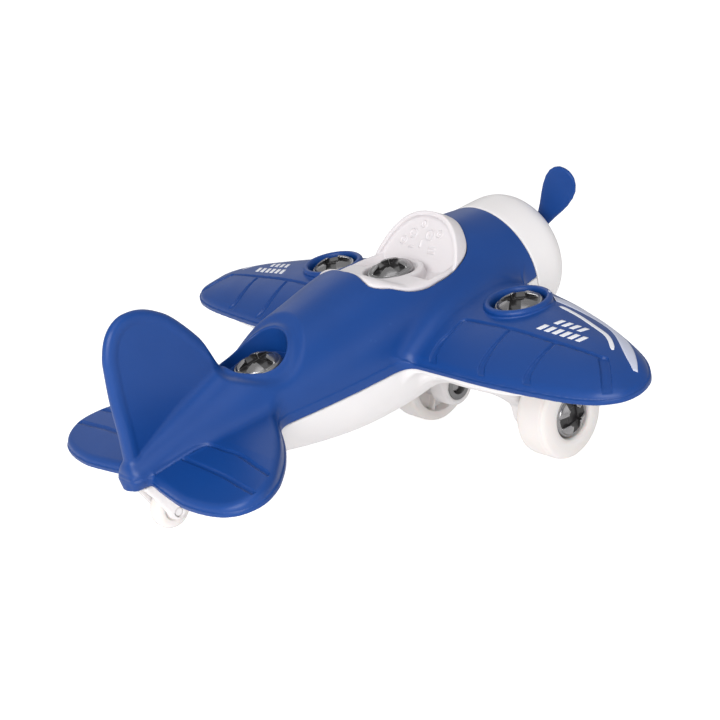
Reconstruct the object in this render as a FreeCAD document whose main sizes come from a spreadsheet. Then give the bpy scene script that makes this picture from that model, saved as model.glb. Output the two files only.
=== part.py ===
import FreeCAD, Part
import Sketcher
import math
import os
from FreeCAD import Placement, Rotation, Vector

# Toy airplane that comes apart: two shells, a cockpit insert, a cowl with propeller, three wheels,
# and the bolts and nuts that join them.
# Every piece is drawn in the airplane's own frame (nose +X, left wing +Y, up +Z, origin under the
# middle of the wing rings), then tipped nose-up onto its three wheels with the ground at z = 0.
# "fore" is a place along +X, "drop" a distance below the origin, "_r" a radius. Lengths in mm.

DIMENSIONS = {
    # stance on the ground
    "pitch_deg": 19.6, "ride_lift": 93.0, "shift_fore": 44.32,
    # shells: wall, gap and depth of the seam, gap round the cockpit insert
    "wall": 2.2, "seam_gap": 0.2, "seam_drop": 16.0, "fit_gap": 0.3,
    # rings in the wings, with wells for the bolt heads
    "ring_side": 67.2, "ring_outer_r": 15.0, "well_r": 13.05, "well_depth": 3.6,
    # cross-slot bolts
    "head_r": 12.2, "head_rise": 7.2, "head_rim": 2.4, "shank_r": 5.0, "bore_r": 5.08,
    "slot_width": 5.4, "slot_depth": 3.4, "hub_square": 7.6, "hub_depth": 4.6,
    "wing_shank": 12.6, "body_shank": 24.0, "tail_shank": 20.0, "axle_shank": 27.0,
    # captive nuts
    "nut_r": 8.0, "nut_long": 6.0, "nut_seat_r": 8.05,
    # places of the two bolts on the centre line
    "cockpit_bolt_fore": -16.3, "cockpit_bolt_seat": 12.5,
    "tail_bolt_fore": -106.5, "tail_bolt_seat": 7.6, "tail_well_r": 16.2,
    # main wheels
    "wheel_fore": 29.0, "wheel_drop": 83.5, "wheel_inner": 38.4, "wheel_r": 23.7,
    "wheel_wide": 19.6, "wheel_recess_r": 12.8, "wheel_recess": 4.6, "wheel_hollow_r": 18.4,
    "wheel_hollow": 7.0, "wheel_hub_r": 8.6, "tread_round": 3.6,
    # nose cowl and propeller
    "nose_fore": 48.3, "nose_drop": 15.2, "cowl_r": 34.7, "cowl_long": 29.5, "droop_deg": 5.0,
    "prop_hub_r": 8.0, "prop_hub_long": 9.0, "prop_reach": 56.0, "prop_turn": 37.0,
    "prop_pin_r": 4.0, "prop_bore_r": 4.08, "prop_cap_r": 7.4, "prop_shank": 22.0,
    # tail wheel, its pin and fork
    "tail_wheel_fore": -174.0, "tail_wheel_drop": 27.0, "tail_wheel_r": 9.2,
    "tail_wheel_wide": 9.0, "pin_r": 2.0, "pin_bore_r": 2.08, "pin_long": 15.0,
    "fork_gap": 0.5, "fork_wall": 2.8,
    "blade_thick": 3.2,
}

doc = FreeCAD.newDocument("toy_airplane")
sheet = doc.addObject("Spreadsheet::Sheet", "sheet")
for row, (alias, value) in enumerate(DIMENSIONS.items(), 1):
    sheet.set("A%d" % row, alias)
    sheet.set("B%d" % row, str(value))
    sheet.setAlias("B%d" % row, alias)
doc.recompute()
size = {alias: float(sheet.get(alias)) for alias in DIMENSIONS}

# Fits and levels shared by several pieces
SEAT_PLAY = 0.05                             # under each bolt head and at each end of a nut
BOLT_HOLE_R = size["bore_r"] + 0.2           # holes the bolts pass through freely
WING_POST_TOP = -9.0
BODY_POST_TOP = 3.2
LEG_INNER = 24.0                             # distance of the leg faces from the centre line
LEG_OUTER = size["wheel_inner"] - 0.6
TAIL_SEAM_Z = -7.4                           # seam height at the tail
SIDES = ((1, "left"), (-1, "right"))

wheel_x, axle_z = size["wheel_fore"], -size["wheel_drop"]
cockpit_x, tail_bolt_x = size["cockpit_bolt_fore"], size["tail_bolt_fore"]
cockpit_seat, tail_seat = size["cockpit_bolt_seat"], size["tail_bolt_seat"]
tail_wheel_x, tail_axle_z = size["tail_wheel_fore"], -size["tail_wheel_drop"]


# ---------------------------------------------------------------- placements
STANCE = Placement(Vector(size["shift_fore"], 0, size["ride_lift"]),
                   Rotation(Vector(0, 1, 0), -size["pitch_deg"]))
parts = []


def place(piece, placement):
    """Set a finished piece in the tipped airplane and list it for export."""
    piece.Placement = STANCE.multiply(placement)
    parts.append(piece)


def at(x, y, z, axis=(0, 0, 1), degrees=0.0):
    return Placement(Vector(x, y, z), Rotation(Vector(*axis), degrees))


def on_axle(side, distance):
    """On the main axle at a distance from the centre line, local Z pointing outboard."""
    return at(wheel_x, side * distance, axle_z, (1, 0, 0), -90 * side)


def on_tail_axle(width):
    """Centred on the tail axle for a piece of this width, local Z pointing right."""
    return at(tail_wheel_x, width / 2, tail_axle_z, (1, 0, 0), 90)


def on_nose(distance, spin=0.0):
    """Along the thrust line, which droops; local Z points forward."""
    joint_gap = 0.4
    base = at(size["nose_fore"] + joint_gap, 0, -size["nose_drop"],
              (0, 1, 0), 90 + size["droop_deg"])
    return base.multiply(at(0, 0, distance, degrees=spin))


# ---------------------------------------------------------------- sketches bound to the sheet
# Sizes are written as text: sums and products of aliases and numbers.
def value_of(text):
    total = 0.0
    for term in text.replace("-", "+-").split("+"):
        if term:
            product = -1.0 if term.startswith("-") else 1.0
            for factor in term.lstrip("-").split("*"):
                product *= size[factor] if factor in size else float(factor)
            total += product
    return total


def linked(text):
    """The same text as a FreeCAD expression on the sheet's aliases."""
    for sign in "+-*":
        text = text.replace(sign, " %s " % sign)
    return "".join("sheet." + word if word in size else word for word in text.split())


def sketch_outline(body, role, name, points):
    """Closed outline on an origin plane, every point fixed by two dimensions."""
    origin_plane = next(item for item in body.Origin.OriginFeatures if item.Role == role)
    sketch = body.newObject("Sketcher::SketchObject", name)
    sketch.AttachmentSupport = [(origin_plane, "")]
    sketch.MapMode = "FlatFace"
    corners = [Vector(value_of(x), value_of(y), 0) for x, y in points]
    count = len(corners)
    for i in range(count):
        sketch.addGeometry(Part.LineSegment(corners[i], corners[(i + 1) % count]), False)
    for i in range(count):
        sketch.addConstraint(Sketcher.Constraint("Coincident", i, 2, (i + 1) % count, 1))
    for i, (x, y) in enumerate(points):
        for kind, text, value, zero_axis in (("DistanceX", x, corners[i].x, -2),
                                             ("DistanceY", y, corners[i].y, -1)):
            if text == "0":
                sketch.addConstraint(Sketcher.Constraint("PointOnObject", i, 1, zero_axis))
            else:
                index = sketch.addConstraint(Sketcher.Constraint(kind, -1, 1, i, 1, value))
                label = "p%d%s" % (i, kind[-1])
                sketch.renameConstraint(index, label)
                sketch.setExpression("Constraints." + label, linked(text))
    return sketch


def add_turning(body, sketch_name, turn_name, profile):
    """Spin a half profile (radius, height) about the body's Z; returns its sketch."""
    sketch = sketch_outline(body, "XZ_Plane", sketch_name, profile)
    turning = body.newObject("PartDesign::Revolution", turn_name)
    turning.Profile = sketch
    turning.ReferenceAxis = (sketch, ["V_Axis"])
    turning.Angle = 360.0
    body.Tip = turning
    doc.recompute()
    return sketch


def turned(name, profile):
    body = doc.addObject("PartDesign::Body", name)
    add_turning(body, name + "_profile", name + "_turn", profile)
    return body


def set_box(body, box, placement):
    box.AttachmentOffset = placement
    box.Placement = placement
    body.Tip = box
    doc.recompute()


def cut_box(body, name, length, width, height, top):
    """Cut a box centred on the body's Z, with its upper face at top."""
    box = body.newObject("PartDesign::SubtractiveBox", name)
    for side, text in (("Length", length), ("Width", width), ("Height", height)):
        box.setExpression(side, linked(text))
    set_box(body, box, at(-value_of(length) / 2, -value_of(width) / 2,
                          value_of(top) - value_of(height)))


def cut_cross(body, span, width, depth, top):
    cut_box(body, body.Name + "_slot_a", span, width, depth, top)
    cut_box(body, body.Name + "_slot_b", width, span, depth, top)


# ---------------------------------------------------------------- cross-slot bolts
def bolt(name, shank):
    """Domed head above z = 0, shank below; slots and a square socket in the head."""
    body = turned(name, [
        ("0", "-" + shank), ("0", "head_rise"), ("head_r*0.36", "head_rise-0.35"),
        ("head_r*0.66", "head_rise-1.45"), ("head_r*0.9", "head_rim+1.3"),
        ("head_r", "head_rim"), ("head_r", "0.3"), ("head_r-0.5", "0"), ("shank_r", "0"),
        ("shank_r", "-" + shank + "+1"), ("shank_r-1", "-" + shank)])
    cut_cross(body, "head_r*3", "slot_width", "slot_depth", "head_rise+0.5")
    cut_box(body, name + "_socket", "hub_square", "hub_square", "hub_depth", "head_rise+0.5")
    return body


WING_BOLT_TURN = {"left": 42, "right": 30}
for side, hand in SIDES:
    place(bolt("wing_bolt_" + hand, "wing_shank"),
          at(0, side * size["ring_side"], SEAT_PLAY - size["well_depth"],
             degrees=WING_BOLT_TURN[hand]))
place(bolt("cockpit_bolt", "body_shank"), at(cockpit_x, 0, cockpit_seat + SEAT_PLAY))
place(bolt("tail_bolt", "tail_shank"), at(tail_bolt_x, 0, tail_seat + SEAT_PLAY))
wheel_seat = size["wheel_inner"] + size["wheel_wide"] - size["wheel_recess"]
for side, hand in SIDES:
    place(bolt("wheel_bolt_" + hand, "axle_shank"), on_axle(side, wheel_seat + SEAT_PLAY))


# ---------------------------------------------------------------- captive nuts
def nut(name, inner="bore_r", outer="nut_r", height="nut_long"):
    return turned(name, [(inner, "0"), (outer, "0"), (outer, height), (inner, height)])


def nut_z(post_top):
    """Height of a nut lying just below the top of its post."""
    return post_top - size["nut_long"] - SEAT_PLAY


for side, hand in SIDES:
    place(nut("wing_nut_" + hand), at(0, side * size["ring_side"], nut_z(WING_POST_TOP)))
place(nut("cockpit_nut"), at(cockpit_x, 0, nut_z(BODY_POST_TOP)))
place(nut("tail_nut"), at(tail_bolt_x, 0, nut_z(BODY_POST_TOP)))
for side, hand in SIDES:
    place(nut("wheel_nut_" + hand), on_axle(side, LEG_INNER + SEAT_PLAY))


# ---------------------------------------------------------------- wheels
def main_wheel(name):
    """Inboard face at z = 0 with a ring-shaped hollow, bolt recess in the outboard face."""
    return turned(name, [
        ("bore_r", "0"), ("wheel_hub_r", "0"), ("wheel_hub_r+0.6", "wheel_hollow"),
        ("wheel_hollow_r-1.0", "wheel_hollow"), ("wheel_hollow_r", "0"),
        ("wheel_r-tread_round", "0"), ("wheel_r-1.2", "1.3"), ("wheel_r", "tread_round"),
        ("wheel_r", "wheel_wide-tread_round"), ("wheel_r-1.2", "wheel_wide-1.3"),
        ("wheel_r-tread_round", "wheel_wide"), ("wheel_recess_r+1.4", "wheel_wide-0.6"),
        ("wheel_recess_r", "wheel_wide-1.6"), ("wheel_recess_r", "wheel_wide-wheel_recess"),
        ("bore_r", "wheel_wide-wheel_recess")])


def tail_wheel():
    return turned("tail_wheel", [
        ("pin_bore_r", "0"), ("tail_wheel_r-2", "0"), ("tail_wheel_r-0.6", "0.6"),
        ("tail_wheel_r", "2"), ("tail_wheel_r", "tail_wheel_wide-2"),
        ("tail_wheel_r-0.6", "tail_wheel_wide-0.6"), ("tail_wheel_r-2", "tail_wheel_wide"),
        ("pin_bore_r", "tail_wheel_wide")])


def tail_wheel_pin():
    return turned("tail_wheel_pin", [
        ("0", "0"), ("pin_r-0.3", "0"), ("pin_r", "0.3"), ("pin_r", "pin_long-0.3"),
        ("pin_r-0.3", "pin_long"), ("0", "pin_long")])


for side, hand in SIDES:
    place(main_wheel("wheel_" + hand), on_axle(side, size["wheel_inner"]))
place(tail_wheel(), on_tail_axle(size["tail_wheel_wide"]))
place(tail_wheel_pin(), on_tail_axle(size["pin_long"]))


# ---------------------------------------------------------------- nose cowl and propeller
def nose_cowl():
    cowl = turned("nose_cowl", [
        ("cowl_r-wall", "-3.6"), ("cowl_r", "-3.6"), ("cowl_r", "14"), ("cowl_r-0.9", "18.5"),
        ("cowl_r-3.2", "22.6"), ("cowl_r-6.8", "26"), ("cowl_r-11.8", "28.4"),
        ("cowl_r-17.5", "cowl_long"), ("prop_bore_r", "cowl_long"), ("prop_bore_r", "16.5"),
        ("prop_bore_r+3", "16.5"), ("prop_bore_r+3", "26.4"), ("cowl_r-18.5", "26.4"),
        ("cowl_r-12.8", "25.8"), ("cowl_r-8.6", "23.8"), ("cowl_r-5.4", "21"),
        ("cowl_r-wall-0.9", "17.8"), ("cowl_r-wall", "13.6")])
    # the joint with the shells is square to the fuselage while the cowl droops
    trim = cowl.newObject("PartDesign::SubtractiveBox", "nose_cowl_joint")
    trim_side, trim_depth = 90.0, 20.0
    trim.Length, trim.Width, trim.Height = trim_side, trim_side, trim_depth
    tilt = Rotation(Vector(0, 1, 0), -size["droop_deg"])
    corner = tilt.multVec(Vector(-trim_side / 2, -trim_side / 2, -trim_depth))
    set_box(cowl, trim, Placement(corner, tilt))
    return cowl


# half width, distance from the hub's axis
BLADE = [("3.4", "prop_hub_r-2.6"), ("4.4", "prop_reach*0.36"), ("8.0", "prop_reach*0.58"),
         ("9.9", "prop_reach*0.78"), ("7.6", "prop_reach*0.93"), ("3.0", "prop_reach")]


def propeller():
    body = doc.addObject("PartDesign::Body", "propeller")
    hub = add_turning(body, "propeller_hub", "propeller_hub_turn", [
        ("prop_bore_r", "0"), ("prop_hub_r", "0"), ("prop_hub_r", "prop_hub_long-1.5"),
        ("prop_hub_r-1.5", "prop_hub_long"), ("prop_bore_r", "prop_hub_long")])
    blade = sketch_outline(body, "XY_Plane", "propeller_blade",
                           [("-" + x, y) for x, y in BLADE] + BLADE[::-1])
    blade_rise = 2.6
    blade.AttachmentOffset = at(0, 0, blade_rise)
    pad = body.newObject("PartDesign::Pad", "propeller_blade_pad")
    pad.Profile = blade
    pad.setExpression("Length", "sheet.blade_thick")
    body.Tip = pad
    doc.recompute()
    pattern = body.newObject("PartDesign::PolarPattern", "propeller_blades")
    pattern.Originals = [pad]
    pattern.Axis = (hub, ["V_Axis"])
    pattern.Angle = 360.0
    pattern.Occurrences = 2
    body.Tip = pattern
    doc.recompute()
    return body


def propeller_bolt():
    body = turned("propeller_bolt", [
        ("0", "-prop_shank"), ("0", "5.2"), ("prop_cap_r*0.5", "4.6"), ("prop_cap_r*0.85", "3"),
        ("prop_cap_r", "1"), ("prop_cap_r", "0"), ("prop_pin_r", "0"),
        ("prop_pin_r", "-prop_shank")])
    cut_cross(body, "prop_cap_r*1.2", "2.6", "2.4", "5.3")
    return body


prop_start = size["cowl_long"] + 0.5         # clear of the cowl's front
bolt_start = prop_start + size["prop_hub_long"] + 0.3
prop_nut_start = 13.0
place(nose_cowl(), on_nose(0))
place(propeller(), on_nose(prop_start, 90 + size["prop_turn"]))
place(propeller_bolt(), on_nose(bolt_start))
place(nut("propeller_nut", "prop_pin_r+0.03", "7", "3.2"), on_nose(prop_nut_start))

# ---------------------------------------------------------------- outlines of the shells
# fuselage stations, nose to tail: x, half width, top z, bottom z, superellipse exponent
STATIONS = [
    (48.3, 34.5, 19.3, -49.7, 2.0), (30.0, 35.0, 22.6, -50.0, 2.1),
    (8.0, 35.4, 25.0, -49.6, 2.2), (-18.0, 35.4, 27.2, -48.8, 2.2),
    (-45.0, 34.4, 28.2, -48.2, 2.25), (-72.0, 31.8, 26.0, -45.0, 2.2),
    (-98.0, 28.6, 23.3, -38.0, 2.15), (-122.0, 24.8, 19.6, -29.5, 2.1),
    (-150.0, 18.0, 13.0, -19.5, 2.0), (-172.0, 12.0, 8.0, -13.0, 2.0),
    (-190.0, 7.0, 3.0, -8.5, 2.0)]
RING_POINTS = 20

# seam between the shells, seen from the side: x, z
SEAM = [(-260, TAIL_SEAM_Z), (-140, TAIL_SEAM_Z), (-122, -9.4), (-100, -11.7), (-78, -13.8),
        (-48, -size["seam_drop"]), (120, -size["seam_drop"])]

# left halves of outlines seen from above: x, y
WING = [(34.0, 0), (33.5, 30), (31.6, 54.5), (28.0, 67.1), (22.9, 83.6), (16.3, 100.8),
        (10.8, 113.7), (4.0, 127.2), (-5.4, 142.3), (-14.9, 151.5), (-22.0, 154.6),
        (-28.5, 154.6), (-35.0, 151.4), (-40.6, 143.9), (-43.4, 135.4), (-45.2, 125.8),
        (-46.6, 112.0), (-47.6, 99.0), (-48.5, 81.5), (-48.4, 62.0), (-48.2, 41.0), (-48.2, 0)]
STABILIZER = [
    (-112.0, 10), (-124.1, 29.1), (-128.2, 35.8), (-133.4, 43.7), (-139.3, 51.4),
    (-146.0, 58.7), (-154.1, 65.5), (-158.7, 68.3), (-164.4, 70.4), (-169.2, 70.8),
    (-174.5, 69.3), (-178.7, 66.4), (-182.1, 61.8), (-184.3, 55.6), (-185.6, 48.9),
    (-186.2, 42.5), (-186.1, 35.0), (-183.9, 19.3), (-181.8, 7.9), (-181.0, 0)]
OPENING = [
    (-44.6, 0), (-44.4, 9.4), (-45.6, 14.7), (-45.4, 18.6), (-42.3, 21.8), (-38.3, 24.0),
    (-34.5, 26.3), (-30.2, 28.1), (-25.1, 29.3), (-19.1, 30.0), (-12.0, 30.0), (-4.8, 29.8),
    (2.2, 28.9), (7.5, 27.8), (11.5, 26.3), (15.7, 23.6), (19.0, 20.3), (22.5, 15.5),
    (25.4, 10.2), (27.6, 5.2), (28.6, 0)]

# sections and outlines seen from the side: x, z
WING_OUTER = [(36, -30), (36, -12.5), (33, -7), (26, -3), (12, -0.8), (-12, -1.0),
              (-26, -3.2), (-38, -7.6), (-50, -11.8), (-50, -30)]
WING_INNER = [(34, -40), (33, -13), (29, -8.5), (22, -5.5), (10, -3.4), (-12, -3.6),
              (-25, -5.8), (-36, -9.8), (-46.5, -13.4), (-47, -40)]
STABILIZER_OUTER = [(-100, -20), (-105, 2), (-125, 1.5), (-150, 0.6), (-170, -1.4),
                    (-190, -4.2), (-190, -20)]
STABILIZER_INNER = [(-104, -30), (-106, -0.4), (-125, -0.9), (-150, -1.8), (-168, -3.6),
                    (-184, -5.8), (-184, -30)]
FIN = [(-189.0, -4), (-189.6, 2.1), (-186.7, 17.0), (-183.4, 32.9), (-180.3, 46.1),
       (-178.7, 52.6), (-175.1, 59.5), (-170.6, 63.9), (-164.9, 66.2), (-158.6, 65.8),
       (-152.9, 63.8), (-147.3, 60.1), (-141.3, 54.3), (-134.2, 43.5), (-127.6, 30.7),
       (-121.6, 18.4), (-118.0, 8), (-130, -4)]
FIN_HALF = 3.8
REAR_DECK_CUT = [(-43.4, 27.5), (-40, 22), (-36, 18), (-30, 15.2), (-10, 15.0), (-10, 60),
                 (-43.4, 60)]
LEG_END_R = 11.6
LEG = [(-30, -30), (-14.6, -47.0), (-3.6, -55.6), (5.3, -64.0), (13.9, -72.9),
       (wheel_x - LEG_END_R, axle_z), (wheel_x, axle_z), (wheel_x + LEG_END_R, axle_z),
       (wheel_x + 12.6, -74), (41.4, -62), (40.0, -46), (38.0, -26)]
FORK_END_R = 4.6
FORK_BACK = -186
FORK = [(FORK_BACK, -9.0), (-183.5, -24), (tail_wheel_x - FORK_END_R, tail_axle_z),
        (tail_wheel_x + FORK_END_R, tail_axle_z), (-160, -9.0)]


# ---------------------------------------------------------------- shapes for the shells
def station_ring(x, half_width, top, bottom, exponent):
    middle, half_height = 0.5 * (top + bottom), 0.5 * (top - bottom)

    def reach(ratio):
        return math.copysign(abs(ratio) ** (2 / exponent), ratio)

    points = []
    for k in range(RING_POINTS):
        angle = 2 * math.pi * k / RING_POINTS
        points.append(Vector(x, half_width * reach(math.cos(angle)),
                             middle + half_height * reach(math.sin(angle))))
    curve = Part.BSplineCurve()
    curve.interpolate(points, PeriodicFlag=True)
    return Part.Wire([curve.toShape()])


def fuselage(inset, front_shift=0.0, rear_shift=0.0):
    """Loft through the stations, shrunk by inset, with its two ends shifted along X."""
    shifts = [front_shift] + [0.0] * (len(STATIONS) - 2) + [rear_shift]
    rings = [station_ring(x + shift, half_width - inset, top - inset, bottom + inset, exponent)
             for (x, half_width, top, bottom, exponent), shift in zip(STATIONS, shifts)]
    return Part.makeLoft(rings, True, False)


def side_prism(points, y_start, width):
    """Outline (x, z) extruded along Y."""
    corners = [Vector(x, y_start, z) for x, z in points]
    face = Part.Face(Part.makePolygon(corners + [corners[0]]))
    return face.extrude(Vector(0, width, 0))


def centred_prism(points, half_width):
    return side_prism(points, -half_width, 2 * half_width)


def beyond_seam(shift, far_z):
    """Everything between the seam, raised by shift, and the level far_z."""
    edge = [(x, z + shift) for x, z in SEAM]
    return centred_prism(edge + [(120, far_z), (-260, far_z)], 220)


def above(shift):
    return beyond_seam(shift, 140.0)


def below(shift):
    return beyond_seam(shift, -140.0)


def slab(half, bottom, top, inset=0.0):
    """Left half outline (x, y), mirrored and extruded up."""
    full = half + [(x, -y) for x, y in reversed(half) if y != 0]
    corners = [Vector(x, y, bottom) for x, y in full]
    edge = Part.makePolygon(corners + [corners[0]])
    if inset:
        edge = edge.makeOffset2D(-inset)
    return Part.Face(edge).extrude(Vector(0, 0, top - bottom))


def cylinder_z(radius, bottom, top, x=0.0, y=0.0):
    return Part.makeCylinder(radius, top - bottom, Vector(x, y, bottom))


def cylinder_y(radius, length, x, y, z, side=1):
    return Part.makeCylinder(radius, length, Vector(x, y, z), Vector(0, side, 0))


def tidy(shape):
    """Merge coplanar faces where that leaves a sound solid."""
    merged = shape.copy().removeSplitter()
    return merged if merged.isValid() else shape


outer = fuselage(0.0)
inner = fuselage(size["wall"], 5.0, 3.0)


# ---------------------------------------------------------------- upper shell
def upper_shell():
    """Top of the fuselage with wing, stabilizer, fin, wing rings and the tail bolt's well."""
    ring_r, wall, well_r = size["ring_outer_r"], size["wall"], size["tail_well_r"]
    ring_ys = [side * size["ring_side"] for side, _ in SIDES]
    shell = outer.common(above(0))
    shell = shell.fuse([
        slab(WING, -size["seam_drop"], 2.0).common(centred_prism(WING_OUTER, 170)),
        slab(STABILIZER, TAIL_SEAM_Z, 4.0).common(centred_prism(STABILIZER_OUTER, 90)),
        centred_prism(FIN, FIN_HALF)])
    for y in ring_ys:
        shell = shell.fuse(cylinder_z(ring_r, -15.0, 1.8, 0, y))

    hollow = inner.common(above(-3))
    hollow = hollow.fuse([
        slab(WING, -30, 2.0, wall).common(centred_prism(WING_INNER, 170)),
        slab(STABILIZER, -20, 4.0, wall).common(centred_prism(STABILIZER_INNER, 90))])
    for y in ring_ys:
        hollow = hollow.cut(cylinder_z(ring_r, -8.8, 5.0, 0, y))
    well_floor = 2.6
    hollow = hollow.cut(cylinder_z(well_r + wall, tail_seat - well_floor, 60, tail_bolt_x))
    shell = shell.cut(hollow)

    for y in ring_ys:
        shell = shell.cut(cylinder_z(size["well_r"], -size["well_depth"], 9.0, 0, y))
        shell = shell.cut(cylinder_z(BOLT_HOLE_R, -30, 9.0, 0, y))
    shell = shell.cut(cylinder_z(well_r, tail_seat, 60, tail_bolt_x))
    shell = shell.cut(cylinder_z(BOLT_HOLE_R, -20, 60, tail_bolt_x))
    shell = shell.cut(slab(OPENING, -14, 80))
    return tidy(shell)


# ---------------------------------------------------------------- cockpit insert
CUP_OUTER_R = 17.0
CUP_INNER_R = 13.2
INSERT_BOTTOM = 3.4
PARTS_BOTTOM = INSERT_BOTTOM + 1.0           # cup, screen and deck start inside the floor
FLOOR_TOP = 5.8


def bubble(inset):
    """Ellipsoid whose surface carries the screen."""
    matrix = FreeCAD.Matrix()
    matrix.A11, matrix.A22, matrix.A33 = 45.27 - inset, 35.45 - inset, 60.0 - inset
    matrix.A14, matrix.A34 = -1.67, -22.54
    return Part.makeSphere(1.0).transformGeometry(matrix)


def round_screen():
    """Front of the bubble, open towards the tail on a plane leaning forward."""
    edge_x, edge_z, lean = 7.63, 20, 0.92
    low, high, front = -30, 70, 150
    ahead = centred_prism([(edge_x + lean * (low - edge_z), low),
                           (edge_x + lean * (high - edge_z), high),
                           (front, high), (front, low)], 60)
    thickness = 2.4
    rim = slab(OPENING, PARTS_BOTTOM, 60, size["fit_gap"])
    return bubble(0).cut(bubble(thickness)).common(rim).common(ahead)


def cockpit_insert():
    """Tub that closes the opening, with bolt cup, round screen and rear deck."""
    gap = size["fit_gap"]
    skin = fuselage(-0.4, 1.0, -1.0)
    tub = slab(OPENING, INSERT_BOTTOM, 60, gap).common(skin)
    tub = tub.cut(slab(OPENING, FLOOR_TOP, 80, gap + size["wall"]))
    cup = cylinder_z(CUP_OUTER_R, PARTS_BOTTOM, 15.8, cockpit_x)
    cup = cup.cut(cylinder_z(CUP_INNER_R, cockpit_seat, 30, cockpit_x))
    screen = round_screen()
    deck = slab(OPENING, PARTS_BOTTOM, 60, gap).common(skin)
    deck = deck.common(Part.makeBox(30, 80, 60, Vector(-47, -40, 4)))
    deck = deck.cut(centred_prism(REAR_DECK_CUT, 60))
    deck = deck.cut(cylinder_z(CUP_INNER_R, cockpit_seat, 60, cockpit_x))
    deck = deck.cut(slab(OPENING, 0, 12.6, gap + 4.0))
    tub = tub.fuse([cup, screen, deck])
    return tidy(tub.cut(cylinder_z(BOLT_HOLE_R, -10, 30, cockpit_x)))


# ---------------------------------------------------------------- lower shell
POST_R = 10.2
TRAY_INSET = 0.6
TRAY_HOLLOW_INSET = TRAY_INSET + size["wall"]
NUT_POCKET = size["nut_long"] + 2 * SEAT_PLAY


def bolt_posts():
    posts = [cylinder_z(POST_R, -20.0, WING_POST_TOP, 0, side * size["ring_side"])
             for side, _ in SIDES]
    posts.append(cylinder_z(POST_R, -47.4, BODY_POST_TOP, cockpit_x))
    tail_post = cylinder_z(POST_R, -45.0, BODY_POST_TOP, tail_bolt_x)
    posts.append(tail_post.common(fuselage(0.3)))
    return posts


def wheel_leg(side):
    """Broad swept strut, rounded round the axle."""
    start, width = side * LEG_INNER, LEG_OUTER - LEG_INNER
    strut = side_prism(LEG, start, side * width)
    return strut.fuse(cylinder_y(LEG_END_R, width, wheel_x, start, axle_z, side))


def add_tail_fork(shell):
    ear_inner = size["tail_wheel_wide"] / 2 + size["fork_gap"]
    ear_outer = ear_inner + size["fork_wall"]
    ears = []
    for side, _ in SIDES:
        start = side * ear_inner
        ear = side_prism(FORK, start, side * size["fork_wall"])
        ears.append(ear.fuse(cylinder_y(FORK_END_R, size["fork_wall"],
                                        tail_wheel_x, start, tail_axle_z, side)))
    bridge = Part.makeBox(26, 2 * ear_outer, 4.0, Vector(FORK_BACK, -ear_outer, -13.0))
    shell = shell.fuse(ears + [bridge])
    wheel_room_r = size["tail_wheel_r"] + 1.0
    shell = shell.cut(cylinder_y(wheel_room_r, 2 * ear_inner,
                                 tail_wheel_x, -ear_inner, tail_axle_z))
    return shell.cut(cylinder_y(size["pin_bore_r"], 40, tail_wheel_x, -20, tail_axle_z))


def lower_shell():
    """Belly with wing and stabilizer undersides, bolt posts, wheel legs and tail fork."""
    gap, bore_r, pocket_r = size["seam_gap"], size["bore_r"], size["nut_seat_r"]
    shell = outer.common(below(-gap))
    wing_tray = slab(WING, -20.6, -size["seam_drop"] - gap, TRAY_INSET)
    tail_tray = slab(STABILIZER, -10.6, TAIL_SEAM_Z - gap, TRAY_INSET).common(below(-gap))
    shell = shell.fuse([wing_tray, tail_tray])
    shell = shell.cut(inner.common(below(0.5)).fuse([
        slab(WING, -18.8, -10, TRAY_HOLLOW_INSET),
        slab(STABILIZER, -9.0, -3, TRAY_HOLLOW_INSET)]))

    posts = bolt_posts()
    shell = shell.fuse(posts + [wheel_leg(side) for side, _ in SIDES])
    # clear the legs out of the body's hollow, leaving the posts
    core = inner.common(below(0.5))
    for post in posts:
        core = core.cut(post)
    shell = shell.cut(core)

    pocket_start = 6.0                       # how far inboard of the leg the cutter starts
    for side, _ in SIDES:
        y = side * size["ring_side"]
        shell = shell.cut(cylinder_z(bore_r, -20.0, 0, 0, y))
        shell = shell.cut(cylinder_z(pocket_r, WING_POST_TOP - NUT_POCKET, 0, 0, y))
        shell = shell.cut(cylinder_y(bore_r, 60, wheel_x, side * 20.0, axle_z, side))
        shell = shell.cut(cylinder_y(pocket_r, NUT_POCKET + pocket_start, wheel_x,
                                     side * (LEG_INNER - pocket_start), axle_z, side))
    for x, bolt_end in ((cockpit_x, cockpit_seat - size["body_shank"]),
                        (tail_bolt_x, tail_seat - size["tail_shank"])):
        shell = shell.cut(cylinder_z(bore_r, bolt_end - 2.0, 30, x))
        shell = shell.cut(cylinder_z(pocket_r, BODY_POST_TOP - NUT_POCKET, 30, x))
    return tidy(add_tail_fork(shell))


for name, shape in (("upper_shell", upper_shell()), ("cockpit_insert", cockpit_insert()),
                    ("lower_shell", lower_shell())):
    feature = doc.addObject("Part::Feature", name)
    # the booleans can leave loose slivers; the piece is the largest solid
    feature.Shape = max(shape.Solids, key=lambda solid: solid.Volume)
    place(feature, at(0, 0, 0))

# ---------------------------------------------------------------- checks and export
doc.recompute()
for item in doc.Objects:
    if "Invalid" in item.State or "Error" in item.State:
        raise RuntimeError("failed: " + item.Name)
os.makedirs("parts", exist_ok=True)
for piece in parts:
    if piece.Shape.isNull() or not piece.Shape.isValid():
        raise RuntimeError("bad shape: " + piece.Label)
    piece.Shape.exportStep(os.path.join("parts", piece.Label + ".step"))
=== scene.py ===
"""Toy take-apart airplane: blue upper shell, white lower shell, cockpit, propeller, wheels, bolts.

Shapes are signed distance fields (negative inside) in the plane's own frame, in millimetres:
x towards the nose, y towards the left wing tip, z up from the thrust line's level.
to_world() pitches the nose up, lifts the plane onto the floor and converts to metres.
"""
import math
from functools import lru_cache

import bpy
import numpy as np
from mathutils import Matrix, Vector


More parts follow.
